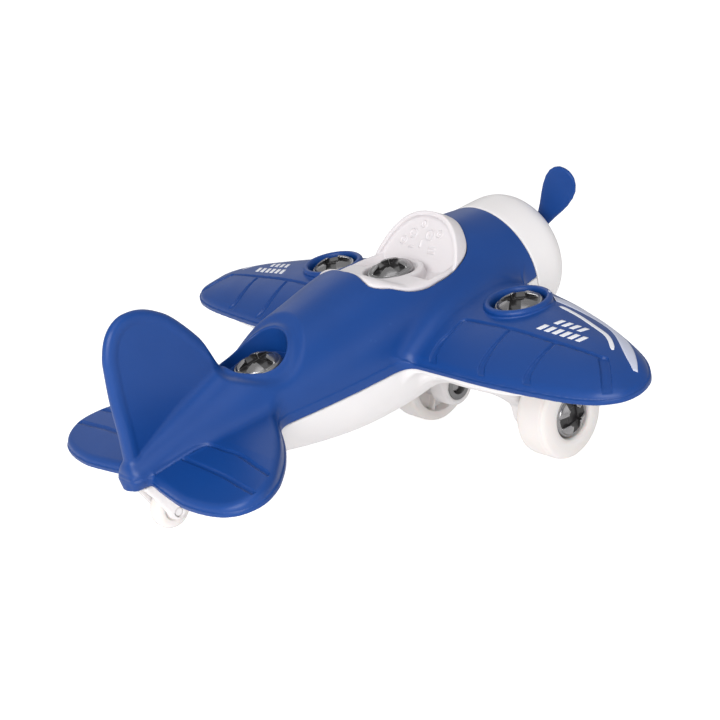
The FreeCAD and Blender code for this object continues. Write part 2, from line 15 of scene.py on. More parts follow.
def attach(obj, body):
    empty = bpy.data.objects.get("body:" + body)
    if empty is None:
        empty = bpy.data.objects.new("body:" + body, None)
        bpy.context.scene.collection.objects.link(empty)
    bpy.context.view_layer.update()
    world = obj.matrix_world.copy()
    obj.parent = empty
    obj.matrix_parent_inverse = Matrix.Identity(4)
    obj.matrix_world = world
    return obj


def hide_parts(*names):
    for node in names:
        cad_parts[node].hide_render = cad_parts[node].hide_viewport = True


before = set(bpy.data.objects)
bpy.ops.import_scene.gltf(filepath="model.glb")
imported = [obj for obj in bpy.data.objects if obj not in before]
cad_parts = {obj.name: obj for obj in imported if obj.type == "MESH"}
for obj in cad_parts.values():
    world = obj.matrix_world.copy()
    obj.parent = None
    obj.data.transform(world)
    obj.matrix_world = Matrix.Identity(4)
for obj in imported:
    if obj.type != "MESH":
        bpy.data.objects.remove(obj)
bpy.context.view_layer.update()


# ---------------------------------------------------------------- shared dimensions (mm)
PITCH = math.radians(19.6)       # nose-up angle of the standing plane
ORIGIN_X, ORIGIN_Z = 44.32, 93.0  # plane origin in the world
WALL = 2.2
NOSE_X = 48.25                   # both shells end here, behind the cowl
WING_BOLT_Y = 67.2               # wing bolts stand at x = 0
COCKPIT_BOLT_X = -16.3
TAIL_BOLT_X = -106.5
WING_SEAT_Z = -3.6               # seats under the bolt heads
COCKPIT_SEAT_Z = 12.5
TAIL_SEAT_Z = 7.6
SEAT_GAP = 0.05
BORE_R = 5.3
NUT_POCKET_R = 8.06
POST_R = 10.2
AXLE_X, AXLE_Z = 29.0, -83.5
TAIL_WHEEL_X, TAIL_WHEEL_Z = -174.0, -27.0
BOLT_DOME_R, BOLT_DOME_DROP = 17.90, 10.70   # crown sphere, its centre below the seat
SCREEN_X, SCREEN_Z = 7.63, 20.0  # a point on the sloping plane of the instrument panel


# ---------------------------------------------------------------- distance-field tools
def smooth_min(a, b, blend):
    overlap = np.maximum(blend - np.abs(a - b), 0.0) / blend
    return np.minimum(a, b) - overlap * overlap * blend * 0.25


def smooth_max(a, b, blend):
    overlap = np.maximum(blend - np.abs(a - b), 0.0) / blend
    return np.maximum(a, b) + overlap * overlap * blend * 0.25


def smoothstep(start, end, x):
    t = np.clip((x - start) / (end - start), 0.0, 1.0)
    return t * t * (3 - 2 * t)


def carve(solid, tool, blend=None):
    """The solid with the tool taken away; blend rounds the new edge."""
    if blend is None:
        return np.maximum(solid, -tool)
    return smooth_max(solid, -tool, blend)


def above(shape, floor, z):
    return np.maximum(shape, floor - z)


def below(shape, ceiling, z):
    return np.maximum(shape, z - ceiling)


def by_table(rows, at):
    """Straight-line lookup in (position, value) rows."""
    return np.interp(at, [row[0] for row in rows], [row[1] for row in rows]).astype(np.float32)


def catmull_rom(points, steps, closed=True):
    """Smooth curve through the points, with a number of steps per span."""
    points = np.asarray(points, float)
    count = len(points)
    curve = []
    for i in range(count if closed else count - 1):
        if closed:
            p0, p1, p2, p3 = [points[(i + k) % count] for k in (-1, 0, 1, 2)]
        else:
            p0, p1 = points[max(i - 1, 0)], points[i]
            p2, p3 = points[i + 1], points[min(i + 2, count - 1)]
        for t in np.arange(steps) / steps:
            curve.append(0.5 * ((2 * p1) + (-p0 + p2) * t
                                + (2 * p0 - 5 * p1 + 4 * p2 - p3) * t * t
                                + (-p0 + 3 * p1 - 3 * p2 + p3) * t ** 3))
    if not closed:
        curve.append(points[-1])
    return np.array(curve)


def cubic_table(xs, ys, grid):
    """Cubic through the points, with tangents from the neighbours."""
    xs, ys = np.asarray(xs, float), np.asarray(ys, float)
    tangent = np.empty_like(ys)
    gap = np.diff(xs)
    slope = np.diff(ys) / gap
    tangent[0], tangent[-1] = slope[0], slope[-1]
    tangent[1:-1] = (slope[:-1] * gap[1:] + slope[1:] * gap[:-1]) / (xs[2:] - xs[:-2])
    i = np.clip(np.searchsorted(xs, grid) - 1, 0, len(xs) - 2)
    h = xs[i + 1] - xs[i]
    t = (grid - xs[i]) / h
    return ((2 * t ** 3 - 3 * t ** 2 + 1) * ys[i] + (t ** 3 - 2 * t ** 2 + t) * h * tangent[i]
            + (-2 * t ** 3 + 3 * t ** 2) * ys[i + 1] + (t ** 3 - t ** 2) * h * tangent[i + 1])


def even_lookup(values, start, step, x):
    """Straight-line lookup in values at even steps."""
    place = np.clip((x - start) / step, 0, len(values) - 1.001)
    i = place.astype(np.int32)
    u = (place - i).astype(np.float32)
    return values[i] * (1 - u) + values[i + 1] * u


class PlaneField:
    """Distance on a 2-D grid: signed for closed outlines, else plain distance to open lines."""

    def __init__(self, lines, signed, step, pad=14.0):
        points = np.vstack(lines)
        self.low = points.min(0) - pad
        high = points.max(0) + pad
        self.count = np.ceil((high - self.low) / step).astype(int) + 1
        self.step = step
        axes = [self.low[k] + step * np.arange(self.count[k]) for k in (0, 1)]
        grid_x, grid_y = np.meshgrid(*axes, indexing="ij")
        x, y = grid_x.ravel(), grid_y.ravel()
        nearest = np.full(x.shape, 1e9)
        inside = np.zeros(x.shape, bool)
        for line in lines:
            path = np.vstack([line, line[:1]]) if signed else line
            for a, b in zip(path[:-1], path[1:]):
                d = b - a
                length2 = d @ d
                if length2 < 1e-12:
                    continue
                t = np.clip(((x - a[0]) * d[0] + (y - a[1]) * d[1]) / length2, 0, 1)
                dist2 = (x - a[0] - t * d[0]) ** 2 + (y - a[1] - t * d[1]) ** 2
                np.minimum(nearest, dist2, out=nearest)
                if signed:
                    spans = (a[1] > y) != (b[1] > y)
                    if spans.any():
                        rise = d[1] if abs(d[1]) > 1e-12 else 1e-12
                        crossing = a[0] + (y - a[1]) * d[0] / rise
                        inside ^= spans & (x < crossing)
        values = np.sqrt(nearest)
        if signed:
            values = np.where(inside, -values, values)
        self.values = values.reshape(self.count).astype(np.float32)

    def __call__(self, x, y):
        fx = (x - self.low[0]) / self.step
        fy = (y - self.low[1]) / self.step
        cx = np.clip(fx, 0, self.count[0] - 1.001)
        cy = np.clip(fy, 0, self.count[1] - 1.001)
        i, j = cx.astype(np.int32), cy.astype(np.int32)
        u, w = (cx - i).astype(np.float32), (cy - j).astype(np.float32)
        v = self.values
        value = ((v[i, j] * (1 - u) + v[i + 1, j] * u) * (1 - w)
                 + (v[i, j + 1] * (1 - u) + v[i + 1, j + 1] * u) * w)
        outside = np.hypot(fx - cx, fy - cy) * self.step
        return value + outside


# ---------------------------------------------------------------- field to mesh (surface nets)
BLOCK = 8   # cells along a block's side


def gradient(field, points, step=0.05):
    total = np.zeros_like(points)
    for sign in ((1, 1, 1), (1, -1, -1), (-1, 1, -1), (-1, -1, 1)):
        sign = np.array(sign, points.dtype)
        total += sign * field(points + sign * step)[:, None]
    return total / (4 * step)


def grid_points(counts):
    axes = [np.arange(n) for n in counts]
    return np.stack(np.meshgrid(*axes, indexing="ij"), -1).reshape(-1, 3)


def blocks_near_surface(field, low, block_counts, cell, batch=200000):
    blocks = grid_points(block_counts)
    keep = []
    for s in range(0, len(blocks), batch):
        centre = low + (blocks[s:s + batch] + 0.5) * cell * BLOCK
        # half diagonal of a block, with slack for fields that overstate distance
        reach = cell * BLOCK * 0.87 * 1.35 + 0.8
        keep.append(np.abs(field(centre.astype(np.float32))) < reach)
    return blocks[np.concatenate(keep)]


def mean_crossing(values, block, i, j, k):
    """Mean of the surface crossings on each cell's twelve edges, in cells."""
    total = np.zeros((len(block), 3))
    count = np.zeros(len(block))
    for axis in range(3):
        first, second = [other for other in range(3) if other != axis]
        for u in (0, 1):
            for v in (0, 1):
                start = [0, 0, 0]
                start[first], start[second] = u, v
                end = list(start)
                end[axis] = 1
                a = values[block, i + start[0], j + start[1], k + start[2]]
                b = values[block, i + end[0], j + end[1], k + end[2]]
                crosses = (a < 0) != (b < 0)
                t = np.where(crosses, a / np.where(crosses, a - b, 1), 0)
                point = np.array(start, float)[None] + np.zeros((len(block), 3))
                point[:, axis] += t
                total += point * crosses[:, None]
                count += crosses
    return total / count[:, None]


def edge_quads(edges, axis, keys, key):
    """One quad round each crossed grid edge, joining its four cells."""
    cells, inside = edges[:, :3], edges[:, 3].astype(bool)
    first, second = [(1, 2), (2, 0), (0, 1)][axis]
    quads = []
    for step_1, step_2 in ((-1, -1), (0, -1), (0, 0), (-1, 0)):
        around = cells.copy()
        around[:, first] += step_1
        around[:, second] += step_2
        wanted = key(around)
        index = np.clip(np.searchsorted(keys, wanted), 0, len(keys) - 1)
        quads.append(np.where(keys[index] == wanted, index, -1))
    quads = np.stack(quads, -1)
    complete = (quads >= 0).all(1)
    quads, inside = quads[complete], inside[complete]
    return np.where(inside[:, None], quads, quads[:, ::-1])


def pull_to_surface(field, points, cell, rounds=2, batch=400000):
    for _ in range(rounds):
        for s in range(0, len(points), batch):
            part = points[s:s + batch].astype(np.float32)
            value = field(part).astype(np.float64)
            slope = gradient(field, part).astype(np.float64)
            slope2 = (slope ** 2).sum(1)
            step = (value / np.maximum(slope2, 0.09))[:, None] * slope
            length = np.linalg.norm(step, axis=1, keepdims=True)
            step *= np.minimum(1.0, 0.5 * cell / np.maximum(length, 1e-9))
            points[s:s + batch] -= step
    return points


def mesh_field(field, low, high, cell, chunk=900):
    low, high = np.asarray(low, float), np.asarray(high, float)
    block_counts = np.ceil((high - low) / (cell * BLOCK)).astype(int)
    blocks = blocks_near_surface(field, low, block_counts, cell)
    local = grid_points([BLOCK + 1] * 3)
    size = block_counts * BLOCK + 4

    def key(cells):
        return (cells[..., 0].astype(np.int64) * size[1] + cells[..., 1]) * size[2] + cells[..., 2]

    keys, vertices = [], []
    edges = [[], [], []]
    for s in range(0, len(blocks), chunk):
        part = blocks[s:s + chunk]
        base = part[:, None, :] * BLOCK + local[None]
        samples = (low + base * cell).astype(np.float32)
        values = field(samples.reshape(-1, 3)).reshape(len(part), *[BLOCK + 1] * 3)
        values = np.where(values == 0, 1e-6, values)
        negative = values < 0
        corners = sum(negative[:, a:a + BLOCK, b:b + BLOCK, c:c + BLOCK].astype(np.int8)
                      for a, b, c in grid_points([2] * 3))
        block, i, j, k = np.nonzero((corners > 0) & (corners < 8))
        if len(block):
            cells = part[block] * BLOCK + np.stack([i, j, k], -1)
            keys.append(key(cells))
            vertices.append(low + (cells + mean_crossing(values, block, i, j, k)) * cell)
        for axis in range(3):
            start = [slice(0, BLOCK)] * 3
            end = [slice(0, BLOCK)] * 3
            end[axis] = slice(1, BLOCK + 1)
            a = negative[(slice(None), *start)]
            b = negative[(slice(None), *end)]
            block, i, j, k = np.nonzero(a != b)
            if len(block):
                cells = part[block] * BLOCK + np.stack([i, j, k], -1)
                edges[axis].append(np.c_[cells, a[block, i, j, k]])
    keys = np.concatenate(keys)
    vertices = np.concatenate(vertices)
    order = np.argsort(keys)
    keys, vertices = keys[order], vertices[order]
    quads = np.concatenate([edge_quads(np.concatenate(edges[axis]), axis, keys, key)
                            for axis in range(3) if edges[axis]])
    return pull_to_surface(field, vertices.astype(np.float64), cell), quads


def drop_crumbs(vertices, quads):
    """Keep the connected skins with over 15 % of the largest one's vertices."""
    parent = np.arange(len(vertices))
    for _ in range(200):
        lowest = parent[quads].min(1)
        new = parent.copy()
        for corner in range(4):
            np.minimum.at(new, quads[:, corner], lowest)
        new = new[new]
        if (new == parent).all():
            break
        parent = new
    skins, counts = np.unique(parent, return_counts=True)
    keep = np.isin(parent, skins[counts > 0.15 * counts.max()])
    remap = np.cumsum(keep) - 1
    return vertices[keep], remap[quads[keep[quads].all(1)]]


def solve(field, low, high, cell, normal_step):
    """Vertices, quads and vertex normals of a field inside a box."""
    vertices, quads = drop_crumbs(*mesh_field(field, low, high, cell))
    normals = gradient(field, vertices.astype(np.float32), normal_step).astype(float)
    normals /= np.maximum(np.linalg.norm(normals, axis=1, keepdims=True), 1e-9)
    return vertices, quads, normals


# ---------------------------------------------------------------- measured outlines (mm)
# Fuselage sections: x, half width, top z, bottom z, superellipse power
STATIONS = [
    (48.3, 34.5, 19.3, -49.7, 2.0), (30.0, 35.0, 22.6, -50.0, 2.1),
    (8.0, 35.4, 25.0, -49.6, 2.2), (-18.0, 35.4, 27.2, -48.8, 2.2),
    (-45.0, 34.4, 28.2, -48.2, 2.25), (-72.0, 31.8, 26.0, -45.0, 2.2),
    (-98.0, 28.6, 23.3, -38.0, 2.15), (-122.0, 24.8, 19.6, -29.5, 2.1),
    (-150.0, 18.0, 13.0, -19.5, 2.0), (-172.0, 12.0, 8.0, -13.0, 2.0),
    (-190.0, 7.0, 3.0, -8.5, 2.0)]
# Left half plans of wing and stabiliser: x, y
WING = [
    (34.0, 0), (33.5, 30), (31.6, 54.5), (28.0, 67.1), (22.9, 83.6), (16.3, 100.8),
    (10.8, 113.7), (4.0, 127.2), (-5.4, 142.3), (-14.9, 151.5), (-22.0, 154.4), (-28.5, 154.4),
    (-35.0, 151.4), (-40.6, 143.9), (-43.4, 135.4), (-45.2, 125.8), (-46.6, 112.0),
    (-47.6, 99.0), (-48.5, 81.5), (-48.4, 62.0), (-48.2, 41.0), (-48.2, 0)]
STABILISER = [
    (-112.0, 10), (-124.1, 29.1), (-128.2, 35.8), (-133.4, 43.7), (-139.3, 51.4),
    (-146.0, 58.7), (-154.1, 65.5), (-158.7, 68.3), (-164.4, 70.4), (-169.2, 70.8),
    (-174.5, 69.3), (-178.7, 66.4), (-182.1, 61.8), (-184.3, 55.6), (-185.6, 48.9),
    (-186.2, 42.5), (-186.1, 35.0), (-183.9, 19.3), (-181.8, 7.9), (-181.0, 0)]
# Side view of the fin: x, z
FIN = [
    (-184.8, -10), (-186.2, 2.1), (-184.3, 17.0), (-182.6, 32.9), (-180.3, 46.1),
    (-178.7, 52.6), (-175.1, 59.5), (-170.6, 63.9), (-164.9, 66.2), (-158.6, 65.8),
    (-152.9, 63.8), (-147.3, 60.1), (-141.3, 54.3), (-134.2, 43.5), (-127.6, 30.7),
    (-121.6, 18.4), (-117.0, 8), (-112, -10)]
# Left half of the cockpit opening's rim: x, y, z
OPENING = [
    (-44.3, 0, 28.2), (-43.9, 5.7, 27.9), (-44.2, 9.8, 27.2), (-45.4, 14.7, 25.6),
    (-45.6, 18.6, 23.3), (-42.6, 21.8, 21.4), (-38.3, 24, 19.5), (-34.5, 26.3, 17.1),
    (-30.2, 28.1, 14.6), (-25.1, 29.3, 12.8), (-19.1, 30, 11.6), (-12, 29.9, 11.2),
    (-4.8, 29.8, 11.0), (2.2, 28.9, 11.6), (7.5, 27.8, 12.7), (11.5, 26.5, 13.8),
    (15.7, 24, 15.9), (19, 20.3, 18.3), (22.2, 15.5, 20.4), (24.6, 11, 21.9),
    (26.9, 4.3, 22.9), (27.6, 0, 23.3)]
# Joint between the shells: x, z
SEAM = [(-260, -7.4), (-140, -7.4), (-122, -9.4), (-100, -11.7), (-78, -13.8), (-48, -16.0),
        (120, -16.0)]
# Top of the stabiliser: x, z
STABILISER_TOP = [(-220, -4.8), (-190, -3.4), (-170, -0.8), (-150, 0.9), (-125, 1.6),
                  (-100, 2.2), (-60, 2.2)]
# Highest line of the wing: y and z
WING_CREST_Y = [0, 60, 80, 109, 132, 145, 154.6, 160]
WING_CREST_Z = [0.0, 0.0, -0.1, -2.4, -5.0, -8.0, -12.0, -13]
# Grooves in the left half, in plan: x, y
WING_GROOVES = [
    [(-46.9, 51.8), (-44.3, 49.6), (-37.8, 48.9), (-31.5, 50.3), (-26, 50.5), (-22.9, 51.2),
     (-21.7, 53.4), (-21.4, 60), (-21.4, 73), (-21.6, 86), (-21.8, 99), (-21.8, 110),
     (-21.9, 121), (-21.9, 131), (-22.2, 134.2)],
    [(-21.6, 81.2), (-28.5, 80.5), (-35, 80.0), (-41.2, 80.0), (-45, 80.9), (-47.2, 82.4)],
    [(-21.8, 107.4), (-28.7, 107.0), (-35.1, 106.4), (-41.3, 106.4), (-44.2, 107.2),
     (-46.0, 108.9)]]
TIP_GROOVE = [[(-22.6, 134.2), (-27.9, 139.1), (-34.5, 144.2), (-37.6, 146.4)]]
TAIL_GROOVE = [
    [(-183.5, 8.6), (-181.4, 9.9), (-175.7, 11.6), (-169.7, 13.5), (-162.6, 15.5),
     (-157.5, 17.6), (-154.8, 21), (-154.4, 30), (-154.2, 41), (-156.6, 55), (-158.4, 66.7)]]
TAIL_CROSS_GROOVE = [[(-166.9, 15.5), (-166.9, 31), (-167.4, 46), (-168.6, 58), (-169.6, 68.6)]]
# Side views of a wheel leg and of a tail-wheel fork plate: x, z
LEG = [
    (-34, -26), (-26, -36), (-17.6, -44.6), (-8.6, -52.4), (0.6, -59.6), (8.0, -66.4),
    (13.9, -72.9), (17.6, -78.6), (18.2, -87.4), (22.2, -93.2), (28.6, -95.4), (35.4, -93.4),
    (39.8, -88.0), (41.0, -80.6), (41.3, -72), (41.2, -60), (40.0, -45), (38.6, -30), (38, -22)]
FORK = [
    (-184, -6), (-182.6, -15), (-180.0, -22), (-178.0, -28.4), (-174, -31.0), (-170.0, -28.4),
    (-167.6, -20), (-163, -12), (-160, -6)]


def mirrored(half):
    """Closed outline from its left half, without repeated points."""
    def distinct(a, b):
        return abs(a[0] - b[0]) + abs(a[1] - b[1]) > 1e-6

    outline = []
    for point in list(half) + [(x, -y) for x, y in reversed(half)]:
        if not outline or distinct(outline[-1], point):
            outline.append(point)
    if not distinct(outline[0], outline[-1]):
        outline.pop()
    return outline


def outline_field(points, step):
    return PlaneField([catmull_rom(points, 6)], True, step)


def groove_field(lines, pad=4.0):
    """Distance to the grooves and their mirror images."""
    left = [catmull_rom(line, 4, False) for line in lines]
    right = [np.array([(x, -y) for x, y in line], float) for line in left]
    return PlaneField(left + right, False, 0.35, pad)


wing_plan = outline_field(mirrored(WING), 0.7)
stabiliser_plan = outline_field(mirrored(STABILISER), 0.7)
fin_side = outline_field(FIN, 0.6)
wing_grooves = groove_field(WING_GROOVES)
tip_groove = groove_field(TIP_GROOVE, pad=5.0)
tail_groove = groove_field(TAIL_GROOVE)
tail_cross_groove = groove_field(TAIL_CROSS_GROOVE)
leg_side = PlaneField([catmull_rom(LEG, 5)], True, 0.7)
fork_side = PlaneField([catmull_rom(FORK, 5)], True, 0.5)

# The opening is drawn on the unrolled fuselage: x against arc about a line low in the body.
UNROLL_R, UNROLL_Z = 42.0, -25.0
opening_flat = outline_field(
    mirrored([(x, UNROLL_R * math.atan2(y, z - UNROLL_Z)) for x, y, z in OPENING]), 0.5)


def opening(x, y, z):
    return opening_flat(x, UNROLL_R * np.arctan2(np.abs(y), z - UNROLL_Z))


# ---------------------------------------------------------------- fuselage, wing and tail
SECTION_START, SECTION_STEP = -190.0, 0.25
station_rows = np.array(STATIONS[::-1])
section_x = np.arange(SECTION_START, 48.31, SECTION_STEP)
section_tables = [cubic_table(station_rows[:, 0], station_rows[:, k], section_x).astype(np.float32)
                  for k in range(1, 5)]


def fuselage(points):
    x, y, z = points.T
    width, top, bottom, power = [even_lookup(values, SECTION_START, SECTION_STEP, x)
                                 for values in section_tables]
    middle, height = 0.5 * (top + bottom), 0.5 * (top - bottom)
    a = np.abs(y) / width
    b = np.abs(z - middle) / height
    level = np.maximum((a ** power + b ** power) ** (1 / power), 1e-3)
    slope_y = (a / level) ** (power - 1) / width
    slope_z = (b / level) ** (power - 1) / height
    dist = (level - 1) / np.sqrt(slope_y * slope_y + slope_z * slope_z + 1e-9)
    return smooth_max(dist, -(x + 188.8), 4.0)


SPAN_STEP = 0.5
span_y = np.arange(0.0, 156.01, SPAN_STEP)


def wing_edges():
    """Leading and trailing edge x at even steps along the span."""
    outline = catmull_rom(mirrored(WING), 6)
    outline = outline[outline[:, 1] >= -1e-6]
    leading, trailing = [], []
    for y in span_y:
        xs = []
        for a, b in zip(outline[:-1], outline[1:]):
            if (a[1] - y) * (b[1] - y) <= 0 and abs(a[1] - b[1]) > 1e-9:
                xs.append(a[0] + (y - a[1]) / (b[1] - a[1]) * (b[0] - a[0]))
        if len(xs) >= 2:
            leading.append(max(xs))
            trailing.append(min(xs))
        else:
            leading.append(leading[-1] if leading else WING[0][0])
            trailing.append(trailing[-1] if trailing else WING[-1][0])
    return np.array(leading, np.float32), np.array(trailing, np.float32)


span_tables = [*wing_edges(),
               cubic_table(WING_CREST_Y, WING_CREST_Z, span_y).astype(np.float32)]
WING_EDGE_Z = -11.5              # the airfoil falls to here at both edges


def wing_top(x, side_y):
    """Height and slope of the wing's upper skin."""
    leading, trailing, crest = [even_lookup(values, 0.0, SPAN_STEP, side_y)
                                for values in span_tables]
    chord = np.maximum(leading - trailing, 16.0)
    middle = 0.5 * (leading + trailing)
    along = np.clip(0.5 - (x - middle) / chord, -0.05, 1.05)
    front = np.maximum(1 - along / 0.45, 0)
    rear = np.maximum((along - 0.5) / 0.5, 0)
    fall = front ** 2.6 + rear ** 2.2
    slope = (2.6 * front ** 1.6 / 0.45 + 2.2 * rear ** 1.2 / 0.5) / chord
    depth = WING_EDGE_Z - crest
    return crest + depth * fall, np.abs(depth) * slope


def wing(points):
    x, y, z = points.T
    height, slope = wing_top(x, np.abs(y))
    top = (z - height) / np.sqrt(1 + slope * slope)
    plan = wing_plan(x, y)
    # crisp roll-over, then a thin flange just above the joint
    return np.minimum(smooth_max(plan, top, 3.4), smooth_max(plan - 0.55, z + 13.4, 0.5))


def stabiliser(points):
    x, y, z = points.T
    plan = stabiliser_plan(x, y)
    return np.minimum(smooth_max(plan, z - by_table(STABILISER_TOP, x), 3.8),
                      smooth_max(plan - 0.5, z + 5.2, 0.5))


def fin(points):
    x, y, z = points.T
    plan = fin_side(x, z)
    half_thick = 4.1 - 0.018 * np.clip(z, 0, 70)
    # a soft raised border runs round the fin
    half_thick = half_thick - 0.35 * smoothstep(-4.0, -6.5, plan)
    return smooth_max(plan, np.abs(y) - half_thick, 4.0)


def tail_block(points):
    """Small block at the fuselage's rear end."""
    x, y, z = points.T
    plan = smooth_max(np.abs(x + 185.2) - 4.2, np.abs(y) - 6.7, 3.2)
    return smooth_max(plan, np.abs(z + 5.4) - 4.5, 1.2)


def bolt_distances(x, y):
    """Distance in plan from the wing, cockpit and tail bolt axes."""
    return (np.hypot(x, np.abs(y) - WING_BOLT_Y), np.hypot(x - COCKPIT_BOLT_X, y),
            np.hypot(x - TAIL_BOLT_X, y))


def channel(dist, half_width, depth, mask):
    """Depth of a flat-bottomed channel."""
    return depth * smoothstep(half_width + 0.5, half_width - 0.15, dist) * mask


# ---------------------------------------------------------------- upper shell
def grooved_wing(points, wing_r):
    x, y, z = points.T
    side_y = np.abs(y)
    shape = wing(points)
    # grooves widen towards the trailing edge and stop short of it
    half_width = 0.55 + 0.85 * smoothstep(-24, -42, x)
    mask = smoothstep(-1.1, -2.0, wing_plan(x, y))
    groove = np.maximum(channel(wing_grooves(x, side_y), half_width, 1.0, mask),
                        channel(tip_groove(x, side_y), 1.9, 1.0, mask))
    shape = shape + groove * smoothstep(-12.5, -9.0, z)
    # boss and beaded rim round each bolt
    rim_z = 0.9 - 0.085 * x
    boss = smooth_max(wing_r - 16.35, z - rim_z + 0.4, 0.6)
    shape = smooth_min(shape, boss, 1.2)
    bead = np.hypot(wing_r - 14.8, z - rim_z + 0.55) - 1.7
    return smooth_min(shape, bead, 0.8)


def grooved_stabiliser(points):
    x, y, z = points.T
    side_y = np.abs(y)
    mask = smoothstep(-1.8, -3.0, stabiliser_plan(x, y))
    groove = np.maximum(channel(tail_groove(x, side_y), 0.6, 0.9, mask),
                        channel(tail_cross_groove(x, side_y), 0.75, 0.95, mask))
    return stabiliser(points) + groove * smoothstep(-4.5, -2.5, z)


def upper_outside(points, wing_r, tail_r):
    x, _, z = points.T
    body = fuselage(points)
    # raised rim along the lower edge, aft of the wing
    rim = smoothstep(5.2, 4.6, z - by_table(SEAM, x)) * smoothstep(-47, -51, x)
    body = body - 0.6 * rim
    shape = smooth_min(body, grooved_wing(points, wing_r), 9.0)
    # fillets tighten towards the tail
    fillet = 2.2 + 4.2 * smoothstep(-182.0, -150.0, x)
    shape = smooth_min(shape, grooved_stabiliser(points), fillet)
    shape = smooth_min(shape, fin(points), fillet)
    shape = smooth_min(shape, tail_block(points), 0.7)
    # the top is dished round the tail bolt well
    return shape + 2.5 * smoothstep(25.5, 18.5, tail_r) * smoothstep(2.0, 8.0, z)


def upper_shell(points):
    x, y, z = points.T
    wing_r, _, tail_r = bolt_distances(x, y)
    outside = upper_outside(points, wing_r, tail_r)
    # hollow, but for the walls that hang down round the bolt wells
    hollow = outside + WALL
    hollow = carve(hollow, above(wing_r - 15.0, -8.8, z))
    hollow = carve(hollow, above(tail_r - 18.4, 5.0, z))
    shell = carve(outside, hollow)
    # bolt wells and bores
    shell = carve(shell, above(wing_r - 13.05, WING_SEAT_Z, z), 0.8)
    shell = carve(shell, wing_r - BORE_R)
    shell = carve(shell, above(tail_r - 16.4, TAIL_SEAT_Z, z), 1.2)
    shell = carve(shell, tail_r - BORE_R)
    # cockpit opening, joint and nose planes
    shell = carve(shell, above(opening(x, y, z), -14.0, z), 0.6)
    shell = smooth_max(shell, by_table(SEAM, x) + 0.08 - z, 0.5)
    return smooth_max(shell, x - NOSE_X, 0.6)


# ---------------------------------------------------------------- lower shell
def trays(x, y, z):
    """Wing and stabiliser undersides; the wing's thins out towards the tips."""
    side_y = np.abs(y)
    bottom = -19.5 + 3.3 * smoothstep(88.0, 124.0, side_y)
    tip = smoothstep(112.0, 140.0, side_y)
    return (smooth_max(wing_plan(x, y) + 0.8 + 2.4 * tip, bottom - z, 2.0),
            smooth_max(stabiliser_plan(x, y) + 3.6, -9.6 - z, 1.6))


def lower_shell(points):
    x, y, z = points.T
    side_y = np.abs(y)
    wing_r, cockpit_r, tail_r = bolt_distances(x, y)
    body = fuselage(points)
    wing_tray, tail_tray = trays(x, y, z)
    # outside, with two wheel legs and the tail-wheel fork
    outside = smooth_min(smooth_min(body, wing_tray, 7.0), tail_tray, 4.0)
    leg = smooth_max(leg_side(x, z), np.abs(side_y - 30.9) - 6.8, 3.0)
    outside = smooth_min(outside, leg, 6.0)
    fork = smooth_max(fork_side(x, z), np.abs(side_y - 6.45) - 1.45, 1.6)
    outside = smooth_min(outside, fork, 2.4)
    # hollow in the body and trays, never in the legs, fork or bolt posts
    hollow = smooth_min(smooth_min(body, wing_tray, 6.0), tail_tray, 4.0) + WALL
    wing_post = below(wing_r - POST_R, -9.0, z)
    for post in (wing_post, cockpit_r - POST_R, tail_r - POST_R):
        hollow = carve(hollow, post)
    shell = carve(outside, hollow)
    # the bolt posts rise past the joint plane
    posts = below(np.minimum(cockpit_r - POST_R, tail_r - POST_R), 3.2, z)
    posts = np.minimum(np.maximum(posts, body + 0.2), above(wing_post, -17.0, z))
    shell = smooth_max(shell, z - (by_table(SEAM, x) - 0.14), 0.5)
    shell = np.minimum(shell, posts)
    # distance from axis, lowest z of the bore, lowest z of the nut pocket
    for dist, bore_z, pocket_z in ((wing_r, -16.6, -15.15), (cockpit_r, -15.0, -2.95),
                                   (tail_r, -14.4, -2.95)):
        shell = carve(shell, above(dist - BORE_R, bore_z, z))
        shell = carve(shell, above(dist - NUT_POCKET_R, pocket_z, z))
    # axle bores, with nut pockets on the legs' inner sides
    axle_r = np.hypot(x - AXLE_X, z - AXLE_Z)
    shell = carve(shell, axle_r - BORE_R, 0.5)
    shell = carve(shell, np.maximum(axle_r - NUT_POCKET_R, side_y - 30.1), 0.5)
    # room for the tail wheel between the fork plates, and its pin hole
    pin_r = np.hypot(x - TAIL_WHEEL_X, z - TAIL_WHEEL_Z)
    shell = carve(shell, np.maximum(pin_r - 10.4, side_y - 5.0))
    shell = carve(shell, pin_r - 2.3)
    return smooth_max(shell, x - NOSE_X, 0.6)


# ---------------------------------------------------------------- cockpit insert
DOME_CENTRE_X, DOME_CENTRE_Z = -1.67, -22.54
DOME_HALF_SIZE = (45.27, 35.45, 60.0)
DOME_SIDE_INSET = 2.1
DOME_POWER = 2.4                 # a little squarer than an ellipse across the shoulders
# Raised round marks on the panel: y, distance up the panel, radius
DIALS = [(8.6, 3.4, 2.4), (14.2, -0.8, 2.0), (-3.4, 3.6, 2.7), (2.8, 8.8, 1.9), (-9.6, 4.8, 1.8)]
# Raised bars on the panel: y, distance up the panel, half width, half length
BARS = [(1.6, -1.4, 0.45, 1.9), (-7.4, -3.0, 2.4, 0.55), (-7.4, -5.2, 2.4, 0.55),
        (7.6, -3.6, 1.6, 0.5)]


def screen_plane(x, z):
    """Signed distance from the sloping plane, negative ahead of it."""
    return (SCREEN_X + 0.92 * (z - SCREEN_Z) - x) / 1.3589


